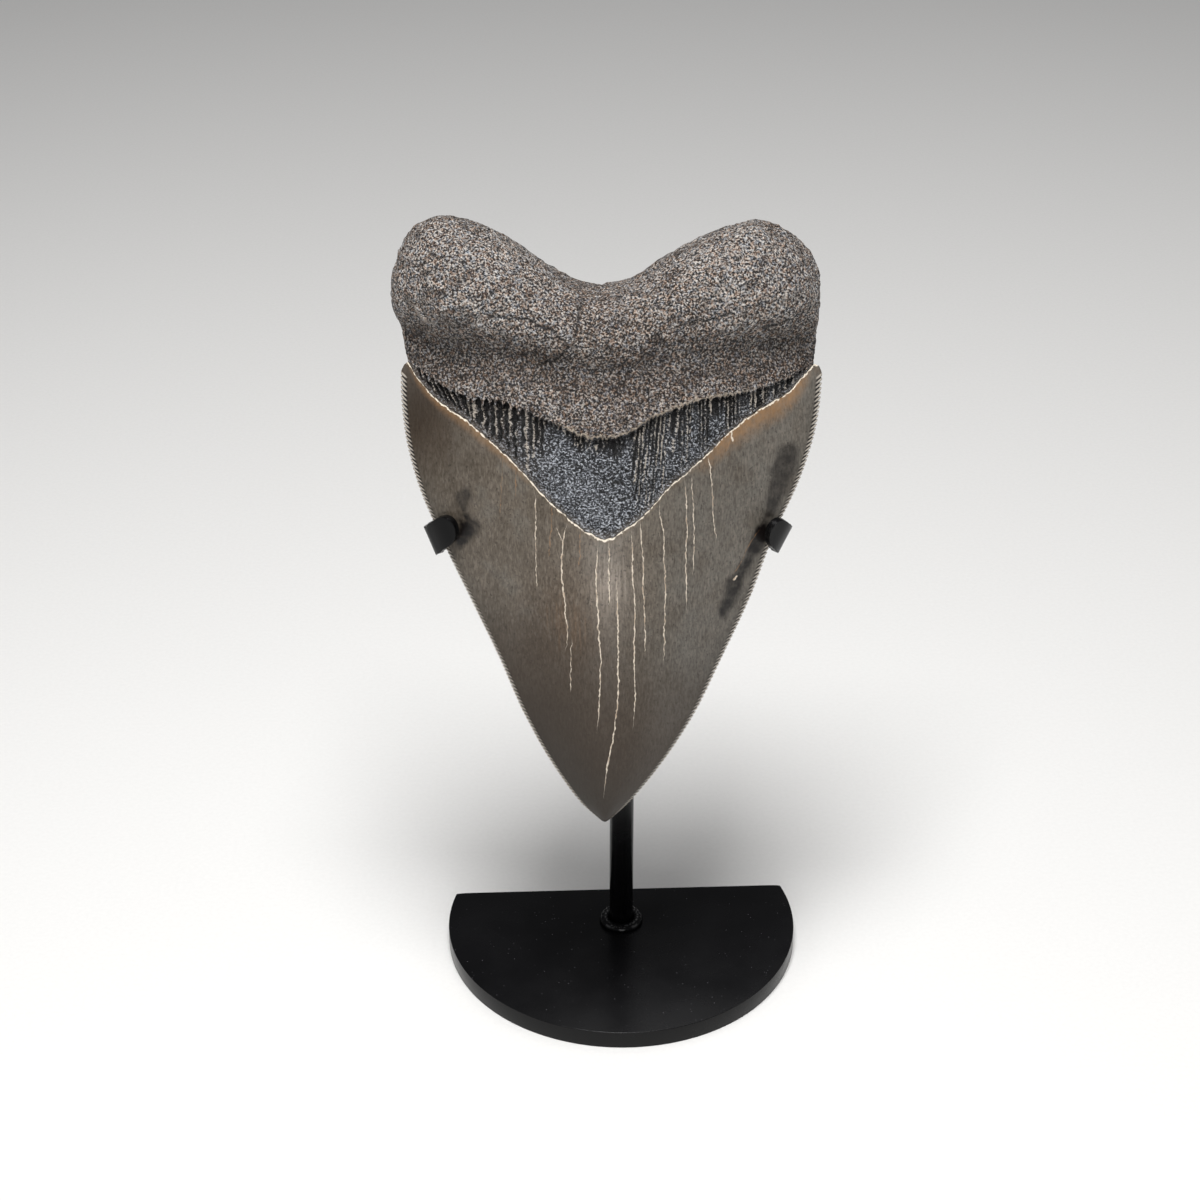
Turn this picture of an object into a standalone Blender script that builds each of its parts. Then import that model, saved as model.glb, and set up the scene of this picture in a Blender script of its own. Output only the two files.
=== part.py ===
"""A large fossil shark tooth resting in a black steel display stand.

Metres, +Z up. The origin is on the underside of the base plate, on the axis of the post.
The tooth's display face looks along -Y, and the straight edge of the plate is at the back, +Y.
"""
import math

import bmesh
import bpy
import numpy as np
from mathutils import Vector, noise

MM = 0.001
GAP = 0.3 * MM

# Stand
BASE_RADIUS = 44.45 * MM
BASE_THICKNESS = 4.76 * MM
BASE_BACK = 13.3 * MM
BASE_CORNER_RADIUS = 4.0 * MM
BASE_EDGE_ROUNDING = 0.5 * MM
BASE_SIDES = 96

POST_RADIUS = 3.0 * MM
POST_TOP = 138.2 * MM
POST_CHAMFER = 0.5 * MM
WELD_RADIUS = 5.3 * MM
WELD_HEIGHT = 1.3 * MM
POST_SIDES = 24

# Each arm's route: from the post, behind the blade, round its edge and forwards to the lip's end.
# The bend's places are (in from the outside of the bend, behind the blade's edge plane);
# each lip ends (inwards, forwards, along the edge) from the last of them.
STRIP_WIDTH = 7.0 * MM
STRIP_THICKNESS = 1.8 * MM
STRIP_ROUNDING = 0.35 * MM
ARM_ROOT_UP = 86.0 * MM
ARM_ROOT_BEHIND = 6.0 * MM
ARM_INNER_END = 0.6 * MM
ARM_MIDDLE_BEHIND = 5.3 * MM
ARM_BEND = [(7.0 * MM, 3.0 * MM), (2.4 * MM, 2.0 * MM), (0.4 * MM, 0.5 * MM), (0.0, -1.7 * MM)]
LEFT_LIP = (6.4 * MM, 4.8 * MM, 2.0 * MM)
RIGHT_LIP = (4.6 * MM, 5.2 * MM, 1.5 * MM)
ARM_EDGE_GAP = 0.7 * MM
LEFT_ARM_DROP = math.radians(21.6)
RIGHT_ARM_DROP = math.radians(27.9)

# How the tooth sits: the place of its tip, and how far its top leans back
TIP_SIDE = -5.9 * MM
TIP_FORWARD = 38.0 * MM
TIP_HEIGHT = 63.7 * MM
LEAN = math.radians(20.0)

# The tooth's outline seen square on, in millimetres from its tip: across, and up the tooth
TIP_LINE = [(-0.9, 0.4), (0.0, 0.0), (0.9, 0.4)]
LEFT_EDGE = [(-0.9, 0.4), (-5.1, 4.3), (-10.4, 11.7), (-18.3, 26.3), (-24.2, 40.8), (-30.6, 55.1),
             (-36.8, 69.0), (-41.2, 80.0), (-43.8, 90.2), (-44.8, 99.0), (-44.5, 109.2)]
RIGHT_EDGE = [(0.9, 0.4), (5.0, 4.0), (11.2, 11.1), (20.9, 25.4), (27.8, 39.5), (34.4, 53.6),
              (39.9, 68.0), (46.2, 81.5), (50.1, 95.0), (50.9, 102.1), (51.1, 107.4)]
ENAMEL_LINE = [(-44.5, 109.2), (-39.6, 104.8), (-35.4, 99.7), (-29.8, 95.1), (-22.1, 89.0), (-14.9, 81.0),
               (-10.5, 76.5), (-6.5, 73.4), (-1.4, 70.4), (1.3, 69.9), (4.7, 72.6), (8.6, 74.7),
               (14.4, 81.1), (19.2, 84.2), (23.6, 88.7), (32.5, 94.9), (43.7, 101.2), (51.1, 107.4)]
ROOT_LINE = [(-43.3, 110.8), (-41.0, 108.6), (-36.1, 104.8), (-30.3, 102.5), (-24.3, 101.6), (-19.2, 100.1),
             (-10.2, 96.4), (-1.1, 93.2), (3.5, 93.4), (11.4, 96.9), (21.4, 100.5), (35.5, 102.9),
             (43.5, 105.6), (49.2, 109.0)]
LEFT_ROOT_SIDE = [(-43.3, 110.8), (-44.7, 117.4), (-46.3, 121.6), (-46.4, 128.0), (-44.7, 134.4)]
RIGHT_ROOT_SIDE = [(49.2, 109.0), (50.1, 115.8), (50.6, 122.6), (49.9, 129.4), (48.3, 132.8)]
TOP_LINE = [(-44.7, 134.4), (-41.4, 139.0), (-35.0, 142.0), (-28.8, 141.0), (-18.1, 135.8), (-7.4, 128.4),
            (0.7, 126.0), (8.8, 127.8), (18.0, 133.6), (27.0, 137.6), (36.1, 139.8), (43.3, 137.2),
            (48.3, 132.8)]

# The blade: depths in front of and behind its cutting edges, in millimetres. Each grows from the
# tip as a power of the height, and falls off from the middle to the edges.
BAND_FOOT_UP = 70.0
CROWN_LENGTH = 110.0
CROWN_FRONT = 13.5
CROWN_FRONT_POWER = 0.62
CROWN_RIDGE = 0.35
CROWN_BACK = 5.0
CROWN_BACK_POWER = 0.5
CROWN_BACK_FALL = 2.2
EDGE_BOW = 1.6

# The dark band below the root, sunk below the enamel and below the root's own edge, in millimetres
ENAMEL_STEP = 0.6
ROOT_STEP = 0.9
BAND_RISE = 0.8
BAND_FRONT_ROUNDING = 2.0
BAND_BACK_ROUNDING = 1.5
STEP_FADE = 0.15

# The root: depths in millimetres, and places as fractions of the way from the root line to its top
BULGE_MIDDLE = 18.5
BULGE_LOSS = 8.0
BULGE_POWER = 1.5
BULGE_START = -0.05
BULGE_LENGTH = 0.38
HOLLOW_DEPTH = 1.7
HOLLOW_SIDE_DEPTH = 0.6
HOLLOW_MIDDLE_PLACE = 0.44
HOLLOW_SIDE_DROP = 0.2
HOLLOW_SIDE_START = 0.6
HOLLOW_WIDTH = 0.12
FRONT_ROUNDING = 13.0
FRONT_ROUNDING_LENGTH = 0.5
BACK_ROUNDING = 6.5
BACK_ROUNDING_LENGTH = 0.4
ROOT_BACK = 7.2
ROOT_BACK_LENGTH = 0.45
ROOT_LUMPS = 0.35
LUMP_SIZE = 5.0

SAW_PITCH = 0.76
SAW_DEPTH = 0.35

# How finely the tooth's skins are divided, and how its lines crowd towards the rims
COLUMNS = 30
COLUMN_CROWDING = 0.75
CROWN_ROWS = 24
CROWN_CROWDING = 1.2
BAND_ROWS = (0.07, 0.36, 0.65, 0.93)
ROOT_ROWS = 15
ROOT_CROWDING = 1.7


def make_material(name, colour, roughness, metallic):
    material = bpy.data.materials.new(name)
    material.use_nodes = True
    shader = material.node_tree.nodes["Principled BSDF"]
    shader.inputs["Base Color"].default_value = (*colour, 1.0)
    shader.inputs["Roughness"].default_value = roughness
    shader.inputs["Metallic"].default_value = metallic
    material.diffuse_color = (*colour, 1.0)
    return material


def add_piece(name, data, material, collection, parent=None):
    piece = bpy.data.objects.new(name, data)
    collection.objects.link(piece)
    piece.parent = parent
    data.materials.append(material)
    return piece


def smoothstep(value):
    value = np.clip(value, 0.0, 1.0)
    return value * value * (3.0 - 2.0 * value)


def along(points, fractions):
    """Places on a smooth curve through the points, at fractions of its length."""
    points = np.asarray(points, dtype=float)
    lengths = np.linalg.norm(np.diff(points, axis=0), axis=1)
    knots = np.concatenate([[0.0], np.cumsum(lengths)]) / lengths.sum()
    slopes = np.gradient(points, knots, axis=0)
    fractions = np.asarray(fractions, dtype=float)
    span = np.clip(np.searchsorted(knots, fractions, side="right") - 1, 0, len(knots) - 2)
    width = knots[span + 1] - knots[span]
    t = ((fractions - knots[span]) / width)[:, None]
    width = width[:, None]
    start = points[span] * (1 + 2 * t) * (1 - t) ** 2 + slopes[span] * width * t * (1 - t) ** 2
    end = points[span + 1] * t * t * (3 - 2 * t) - slopes[span + 1] * width * t * t * (1 - t)
    return start + end


def fill_between(low, high, left, right, rises, across):
    """Rows of places that fill the patch between a low and a high line and its two sides."""
    s = across[None, :, None]
    v = np.asarray(rises, dtype=float)[:, None, None]
    low_line = along(low, across)[None]
    high_line = along(high, across)[None]
    left_side = along(left, rises)[:, None]
    right_side = along(right, rises)[:, None]
    corners = ((1 - s) * (1 - v) * low_line[:, :1] + s * (1 - v) * low_line[:, -1:]
               + (1 - s) * v * high_line[:, :1] + s * v * high_line[:, -1:])
    return (1 - v) * low_line + v * high_line + (1 - s) * left_side + s * right_side - corners


def distance_to_line(places, line):
    """Distance of each place from the nearest stretch of a line of points."""
    nearest = np.full(places.shape[:-1], np.inf)
    for start, end in zip(line[:-1], line[1:]):
        run = end - start
        t = np.clip(((places - start) @ run) / max(run @ run, 1e-9), 0.0, 1.0)
        gap = np.linalg.norm(places - start - t[..., None] * run, axis=-1)
        nearest = np.minimum(nearest, gap)
    return nearest


def round_over(distance, radius):
    """How full a rounded edge is at a distance in from it: 0 on the edge, 1 at the radius."""
    return np.sqrt(1.0 - (1.0 - np.clip(distance / radius, 0.0, 1.0)) ** 2)


def crown_depths(places):
    """Front and back depth of the blade's lens-shaped section at each place."""
    fine = np.linspace(0.0, 1.0, 200)
    x, z = places[..., 0], places[..., 1]
    left_x, right_x = (np.interp(z, line[:, 1], line[:, 0])
                       for line in (along(LEFT_EDGE, fine), along(RIGHT_EDGE, fine)))
    u = np.clip(np.abs((2 * x - left_x - right_x) / (right_x - left_x)), 0.0, 1.0)
    height = np.maximum(z, 0.0) / BAND_FOOT_UP
    front = CROWN_FRONT * height ** CROWN_FRONT_POWER * (1 - u * u) * (1 - CROWN_RIDGE * u * u)
    back = CROWN_BACK * height ** CROWN_BACK_POWER * (1 - u ** CROWN_BACK_FALL)
    return front, back


def tooth_surface():
    """Grids of the tooth's places: its outline plane, and the front and back depths, in millimetres.

    The crown's rows run from the tip to the enamel line, the dark band's on to the root line,
    and the root's on to the top of the two lobes.
    """
    turn = np.linspace(-1.0, 1.0, COLUMNS + 1)
    u = (1 - COLUMN_CROWDING) * turn + COLUMN_CROWDING * np.sin(turn * math.pi / 2)
    across = (1.0 + u) / 2.0
    crown_rise = np.linspace(0.0, 1.0, CROWN_ROWS + 1) ** CROWN_CROWDING
    band_rise = np.array(BAND_ROWS)
    root_rise = 1.0 - (1.0 - np.linspace(0.0, 1.0, ROOT_ROWS + 1)) ** ROOT_CROWDING

    crown = fill_between(TIP_LINE, ENAMEL_LINE, LEFT_EDGE, RIGHT_EDGE, crown_rise, across)
    left_shoulder = [ENAMEL_LINE[0], ROOT_LINE[0]]
    right_shoulder = [ENAMEL_LINE[-1], ROOT_LINE[-1]]
    band = fill_between(ENAMEL_LINE, ROOT_LINE, left_shoulder, right_shoulder, band_rise, across)
    root = fill_between(ROOT_LINE, TOP_LINE, LEFT_ROOT_SIDE, RIGHT_ROOT_SIDE, root_rise, across)

    fine = np.linspace(0.0, 1.0, 60)
    outline = np.concatenate([along(LEFT_EDGE, fine), along(LEFT_ROOT_SIDE, fine), along(TOP_LINE, fine),
                              along(RIGHT_ROOT_SIDE, fine)[::-1], along(RIGHT_EDGE, fine)[::-1]])
    side_fade = smoothstep((1 - np.abs(u)) / STEP_FADE)
    crown_front, crown_back = crown_depths(crown)

    band_inset = distance_to_line(band, outline)
    band_front, band_back = crown_depths(band)
    band_front += (BAND_RISE * band_rise[:, None] - ENAMEL_STEP) * side_fade
    band_front *= round_over(band_inset, BAND_FRONT_ROUNDING)
    band_back *= round_over(band_inset, BAND_BACK_ROUNDING)

    w = root_rise[:, None]
    foot_front, foot_back = (depth[0] for depth in crown_depths(root[:1]))
    foot_front = foot_front + (BAND_RISE - ENAMEL_STEP + ROOT_STEP) * side_fade
    bulge = BULGE_MIDDLE - BULGE_LOSS * np.abs(u) ** BULGE_POWER
    hollow_place = HOLLOW_MIDDLE_PLACE - HOLLOW_SIDE_DROP * smoothstep(np.abs(u) / HOLLOW_SIDE_START)
    swell = smoothstep((w - hollow_place - BULGE_START) / BULGE_LENGTH)
    hollow = ((HOLLOW_DEPTH + HOLLOW_SIDE_DEPTH * np.abs(u))
              * np.exp(-((w - hollow_place) / HOLLOW_WIDTH) ** 2))
    root_inset = distance_to_line(root, outline)
    front_radius = BAND_FRONT_ROUNDING + ((FRONT_ROUNDING - BAND_FRONT_ROUNDING)
                                          * smoothstep(w / FRONT_ROUNDING_LENGTH))
    back_radius = BAND_BACK_ROUNDING + ((BACK_ROUNDING - BAND_BACK_ROUNDING)
                                        * smoothstep(w / BACK_ROUNDING_LENGTH))
    root_front = foot_front + (bulge - foot_front) * swell - hollow * side_fade
    root_front *= round_over(root_inset, front_radius)
    thicken = smoothstep(w / ROOT_BACK_LENGTH)
    root_back = foot_back * (1 - thicken) + (ROOT_BACK - np.abs(u)) * thicken
    root_back *= round_over(root_inset, back_radius)

    places = np.concatenate([crown, band, root])
    front = np.concatenate([crown_front, band_front, root_front])
    back = np.concatenate([crown_back, band_back, root_back])
    return places, front, back


def lumps(place, side):
    """The root's uneven, weathered surface: a smooth pattern of low lumps."""
    return ROOT_LUMPS * noise.noise(Vector((place[0] / LUMP_SIZE, side, place[1] / LUMP_SIZE)))


def cut_saw_teeth(bm, edge):
    """Split a stretch of the crown's edge, and press every second new point in towards the blade."""
    low, high = sorted(edge.verts, key=lambda vert: vert.co.z)
    start, run = low.co.copy(), high.co - low.co
    inward = Vector((run.z, 0.0, -run.x)).normalized() * (1 if start.x < 0 else -1)
    teeth = max(1, round(run.length / (SAW_PITCH * MM)))
    split = bmesh.ops.bisect_edges(bm, edges=[edge], cuts=2 * teeth - 1)
    points = [item for item in split["geom_split"] if isinstance(item, bmesh.types.BMVert)]
    for point in points:
        step = round((point.co - start).dot(run) / run.length_squared * 2 * teeth)
        if step % 2 == 1:
            point.co += inward * SAW_DEPTH * MM


def make_tooth(collection, seat):
    """Two skins, front and back, that share the outline; then the fine saw teeth along the blade."""
    places, front, back = tooth_surface()
    rows, columns = front.shape
    bow = -EDGE_BOW * np.sin(math.pi * np.clip(places[..., 1] / CROWN_LENGTH, 0.0, 1.0))
    bm = bmesh.new()
    skins = {}
    for side, depth in ((-1, front), (1, back)):
        for row in range(rows):
            for column in range(columns):
                on_outline = row in (0, rows - 1) or column in (0, columns - 1)
                if on_outline and side == 1:
                    skins[side, row, column] = skins[-1, row, column]
                    continue
                x, z = places[row, column]
                thick = 0.0 if on_outline else depth[row, column]
                if row > CROWN_ROWS and not on_outline:
                    thick += lumps((x, z), side)
                y = bow[row, column] + side * thick
                skins[side, row, column] = bm.verts.new(Vector((x, y, z)) * MM)
    for side in (-1, 1):
        for row in range(rows - 1):
            for column in range(columns - 1):
                ring = [skins[side, row, column], skins[side, row, column + 1],
                        skins[side, row + 1, column + 1], skins[side, row + 1, column]]
                bm.faces.new(ring if side == -1 else ring[::-1])
    saw_edges = []
    for row in range(CROWN_ROWS):
        for column in (0, columns - 1):
            saw_edges.append(bm.edges.get((skins[-1, row, column], skins[-1, row + 1, column])))
    for edge in saw_edges:
        cut_saw_teeth(bm, edge)
    bmesh.ops.triangulate(bm, faces=bm.faces[:])
    bmesh.ops.recalc_face_normals(bm, faces=bm.faces[:])
    mesh = bpy.data.meshes.new("tooth")
    bm.to_mesh(mesh)
    bm.free()
    mesh.shade_smooth()
    mesh.set_sharp_from_angle(angle=math.radians(50))
    return add_piece("tooth", mesh, make_material("fossil tooth", (0.075, 0.066, 0.053), 0.45, 0.0),
                     collection, seat)


def make_base_plate(collection, black):
    """A disc cut off straight at the back, with the two corners and all its edges rounded."""
    bm = bmesh.new()
    bmesh.ops.create_cone(bm, cap_ends=True, segments=BASE_SIDES, radius1=BASE_RADIUS,
                          radius2=BASE_RADIUS, depth=BASE_THICKNESS)
    bmesh.ops.translate(bm, verts=bm.verts[:], vec=(0.0, 0.0, BASE_THICKNESS / 2))
    everything = bm.verts[:] + bm.edges[:] + bm.faces[:]
    cut = bmesh.ops.bisect_plane(bm, geom=everything, plane_co=(0.0, BASE_BACK, 0.0),
                                 plane_no=(0.0, 1.0, 0.0), clear_outer=True)
    rim = [item for item in cut["geom_cut"] if isinstance(item, bmesh.types.BMEdge)]
    bmesh.ops.edgeloop_fill(bm, edges=rim)
    corners = [edge for edge in bm.edges
               if all(abs(vert.co.y - BASE_BACK) < GAP for vert in edge.verts)
               and abs(edge.verts[0].co.z - edge.verts[1].co.z) > BASE_THICKNESS / 2]
    bmesh.ops.bevel(bm, geom=corners, offset=BASE_CORNER_RADIUS, segments=6, profile=0.5, affect="EDGES")
    bmesh.ops.recalc_face_normals(bm, faces=bm.faces[:])
    mesh = bpy.data.meshes.new("base_plate")
    bm.to_mesh(mesh)
    bm.free()
    plate = add_piece("base_plate", mesh, black, collection)
    rounding = plate.modifiers.new("rounded edges", "BEVEL")
    rounding.width = BASE_EDGE_ROUNDING
    rounding.segments = 2
    rounding.limit_method = "ANGLE"
    rounding.angle_limit = math.radians(40)
    mesh.shade_smooth()
    mesh.set_sharp_from_angle(angle=math.radians(35))
    return plate


def make_post(collection, black):
    """A round rod with the bead of weld at its foot, turned from one profile."""
    profile = [(0.0, POST_TOP), (POST_RADIUS - POST_CHAMFER, POST_TOP), (POST_RADIUS, POST_TOP - POST_CHAMFER)]
    bead_steps = 5
    foot = BASE_THICKNESS + GAP
    for step in range(bead_steps + 1):
        turn = math.radians(90) * step / bead_steps
        profile.append((WELD_RADIUS - (WELD_RADIUS - POST_RADIUS) * math.cos(turn),
                        foot + WELD_HEIGHT * (1.0 - math.sin(turn))))
    profile.append((0.0, foot))
    mesh = bpy.data.meshes.new("post")
    mesh.from_pydata([(radius, 0.0, height) for radius, height in profile],
                     [(index, index + 1) for index in range(len(profile) - 1)], [])
    post = add_piece("post", mesh, black, collection)
    turning = post.modifiers.new("turning", "SCREW")
    turning.steps = POST_SIDES
    turning.render_steps = POST_SIDES
    turning.use_merge_vertices = True
    turning.merge_threshold = 0.00001
    turning.use_smooth_shade = True
    return post


def blade_reach(edge_line, side, drop):
    """How far out an arm's strip first clears the crown's edge, from the place where it is welded on."""
    root = np.array([-TIP_SIDE, ARM_ROOT_UP]) / MM
    away = along(edge_line, np.linspace(0.0, 1.0, 400)) - root
    out = side * away[:, 0] * math.cos(drop) - away[:, 1] * math.sin(drop)
    up = side * away[:, 0] * math.sin(drop) + away[:, 1] * math.cos(drop)
    return float(out[np.abs(up) < STRIP_WIDTH / 2 / MM].max()) * MM


def make_arm(name, side, drop, edge_line, lip, collection, seat, black):
    """A flat strip behind the tooth, hooked forwards round the edge, with a rounded tip on the lip."""
    reach = blade_reach(edge_line, side, drop) + ARM_EDGE_GAP + STRIP_THICKNESS / 2
    lip_in, lip_forward, lip_up = lip
    bend_end_in, bend_end_behind = ARM_BEND[-1]
    route = [(ARM_INNER_END, ARM_ROOT_BEHIND, 0.0), (reach / 2, ARM_MIDDLE_BEHIND, 0.0)]
    route += [(reach - inwards, behind, 0.0) for inwards, behind in ARM_BEND]
    for part in (0.35, 1.0):
        route.append((reach - bend_end_in - lip_in * part ** 1.5, bend_end_behind - lip_forward * part,
                      lip_up * part))
    cells_along, cells_across = 38, 6
    bm = bmesh.new()
    bmesh.ops.create_grid(bm, x_segments=cells_along, y_segments=cells_across, size=0.5)
    length = sum(math.dist(a, b) for a, b in zip(route[:-1], route[1:]))
    for vert in bm.verts:
        sideways = vert.co.y * STRIP_WIDTH
        tip_loss = STRIP_WIDTH / 2 - math.sqrt(max(0.0, (STRIP_WIDTH / 2) ** 2 - sideways ** 2))
        fraction = (vert.co.x + 0.5) * (1.0 - tip_loss / length)
        run, behind, lift = along(route, [fraction])[0]
        run -= sideways * math.tan(drop) * max(0.0, 1.0 - 4.0 * fraction)
        sideways += lift
        vert.co = (side * (run * math.cos(drop) + sideways * math.sin(drop)) - TIP_SIDE, behind,
                   ARM_ROOT_UP - run * math.sin(drop) + sideways * math.cos(drop))
    bmesh.ops.recalc_face_normals(bm, faces=bm.faces[:])
    mesh = bpy.data.meshes.new(name)
    bm.to_mesh(mesh)
    bm.free()
    arm = add_piece(name, mesh, black, collection, seat)
    wall = arm.modifiers.new("strip thickness", "SOLIDIFY")
    wall.thickness = STRIP_THICKNESS
    wall.offset = 0.0
    wall.use_even_offset = True
    rounding = arm.modifiers.new("rounded edges", "BEVEL")
    rounding.width = STRIP_ROUNDING
    rounding.segments = 1
    rounding.limit_method = "ANGLE"
    rounding.angle_limit = math.radians(50)
    mesh.shade_smooth()
    return arm


def main():
    for old in list(bpy.data.objects):
        bpy.data.objects.remove(old, do_unlink=True)
    collection = bpy.data.collections.new("shark_tooth_on_stand")
    bpy.context.scene.collection.children.link(collection)
    seat = bpy.data.objects.new("tooth_seat", None)
    seat.location = (TIP_SIDE, -TIP_FORWARD, TIP_HEIGHT)
    seat.rotation_euler = (-LEAN, 0.0, 0.0)
    collection.objects.link(seat)
    black = make_material("black paint", (0.012, 0.012, 0.014), 0.4, 0.0)
    make_base_plate(collection, black)
    make_post(collection, black)
    make_arm("left_arm", -1, LEFT_ARM_DROP, LEFT_EDGE, LEFT_LIP, collection, seat, black)
    make_arm("right_arm", 1, RIGHT_ARM_DROP, RIGHT_EDGE, RIGHT_LIP, collection, seat, black)
    make_tooth(collection, seat)


main()
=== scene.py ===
"""Looks for a large fossil shark tooth resting in its black steel stand. Metres, +Z up."""
import math

import bmesh
import bpy
import numpy as np
from mathutils import Matrix, Vector, noise


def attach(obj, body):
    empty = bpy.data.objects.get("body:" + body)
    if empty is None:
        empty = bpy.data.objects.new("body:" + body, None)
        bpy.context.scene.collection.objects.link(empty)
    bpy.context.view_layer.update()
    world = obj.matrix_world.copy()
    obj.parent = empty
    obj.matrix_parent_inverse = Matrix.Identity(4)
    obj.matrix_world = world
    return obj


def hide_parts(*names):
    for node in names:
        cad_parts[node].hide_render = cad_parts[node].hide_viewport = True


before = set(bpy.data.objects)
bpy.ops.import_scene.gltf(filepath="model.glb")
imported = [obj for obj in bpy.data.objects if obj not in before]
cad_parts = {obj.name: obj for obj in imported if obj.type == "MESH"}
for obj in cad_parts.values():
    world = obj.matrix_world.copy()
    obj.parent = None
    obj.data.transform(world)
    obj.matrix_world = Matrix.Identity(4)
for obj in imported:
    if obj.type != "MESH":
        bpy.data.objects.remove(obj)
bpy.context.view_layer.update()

# ---------------------------------------------------------------------------------------------
# The room: a pale matt table top under one large soft light from above and a weaker one on
# each side. The camera stands half a metre in front, a little left of the middle, looking down.
MM = 0.001
CAMERA_PLACE = Vector((-29.21, -555.18, 438.85)) * MM
CAMERA_AIM = Vector((-5.46, 0.0, 101.65)) * MM
CAMERA_LENS = 81.33
BOARD_GRAIN = 1.11 * MM


def linear(code, alpha=1.0):
    """An sRGB hex colour as the linear values that Blender works in."""
    channels = (int(code[place:place + 2], 16) / 255 for place in (1, 3, 5))
    return tuple(c / 12.92 if c <= 0.04045 else ((c + 0.055) / 1.055) ** 2.4 for c in channels) + (alpha,)


def put(tree, kind, inputs=None, give=0, **settings):
    """Adds a node with its settings and inputs, and gives back one output, or the node itself."""
    made = tree.nodes.new("ShaderNode" + kind)
    for name, value in settings.items():
        setattr(made, name, value)
    for name, value in (inputs or {}).items():
        if isinstance(value, bpy.types.NodeSocket):
            tree.links.new(value, made.inputs[name])
        else:
            made.inputs[name].default_value = value
    return made if give is None else made.outputs[give]


def new_material(name):
    """An empty material: its node tree, and the surface shader that the nodes lead to."""
    material = bpy.data.materials.new(name)
    material.use_nodes = True
    return material, material.node_tree, material.node_tree.nodes["Principled BSDF"]


def aim(thing, target):
    thing.rotation_euler = (Vector(target) - thing.location).to_track_quat("-Z", "Y").to_euler()


bpy.ops.object.select_all(action="DESELECT")
bpy.ops.object.camera_add(location=CAMERA_PLACE)
camera = bpy.context.object
camera.data.lens = CAMERA_LENS
camera.data.sensor_width = 36.0
camera.data.clip_start = 0.01
aim(camera, CAMERA_AIM)
bpy.context.scene.camera = camera

for light_name, place, size, power in (("key", (-0.05, -0.22, 0.85), 0.32, 7.8),
                                       ("front", (-0.02, -0.95, 0.24), 0.35, 1.7),
                                       ("left fill", (-0.85, -0.30, 0.45), 0.6, 1.2),
                                       ("right fill", (0.90, -0.25, 0.40), 0.6, 1.2),
                                       ("back", (0.15, 0.45, 1.05), 0.5, 1.6)):
    bpy.ops.object.light_add(type="AREA", location=place)
    lamp = bpy.context.object
    lamp.name = light_name
    lamp.data.size = size
    lamp.data.energy = power
    aim(lamp, (0.0, -0.02, 0.11))

world = bpy.data.worlds.new("room")
bpy.context.scene.world = world
world.use_nodes = True
world.node_tree.nodes["Background"].inputs["Color"].default_value = linear("#e8e9ec")
world.node_tree.nodes["Background"].inputs["Strength"].default_value = 0.13
bpy.context.scene.view_settings.view_transform = "Standard"

bpy.ops.mesh.primitive_plane_add(size=6.0, location=(0.0, 0.0, 0.0))
table = bpy.context.object
table.name = "table_top"
paper, tree, shader = new_material("matt pale board")
place = put(tree, "TexCoord", give=3)
grain = put(tree, "TexNoise", {"Vector": place, "Scale": 1 / BOARD_GRAIN, "Detail": 3.0})
shade = put(tree, "Mix", {0: grain, 6: linear("#e4e3e1"), 7: linear("#ecebe9")}, 2, data_type="RGBA")
tree.links.new(shade, shader.inputs["Base Color"])
shader.inputs["Roughness"].default_value = 0.8
table.data.materials.append(paper)

# ---------------------------------------------------------------------------------------------
# The base plate: 3/16 inch mild steel, cut to a disc with one straight edge at the back, its
# corners and edges dressed round with a file, then powder coated black.
PLATE_RADIUS = 44.45 * MM
PLATE_THICKNESS = 4.76 * MM
PLATE_BACK = 13.3 * MM
PLATE_CORNER = 4.0 * MM
PLATE_EDGE = 0.5 * MM
SAME_PLACE = 0.01 * MM


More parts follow.
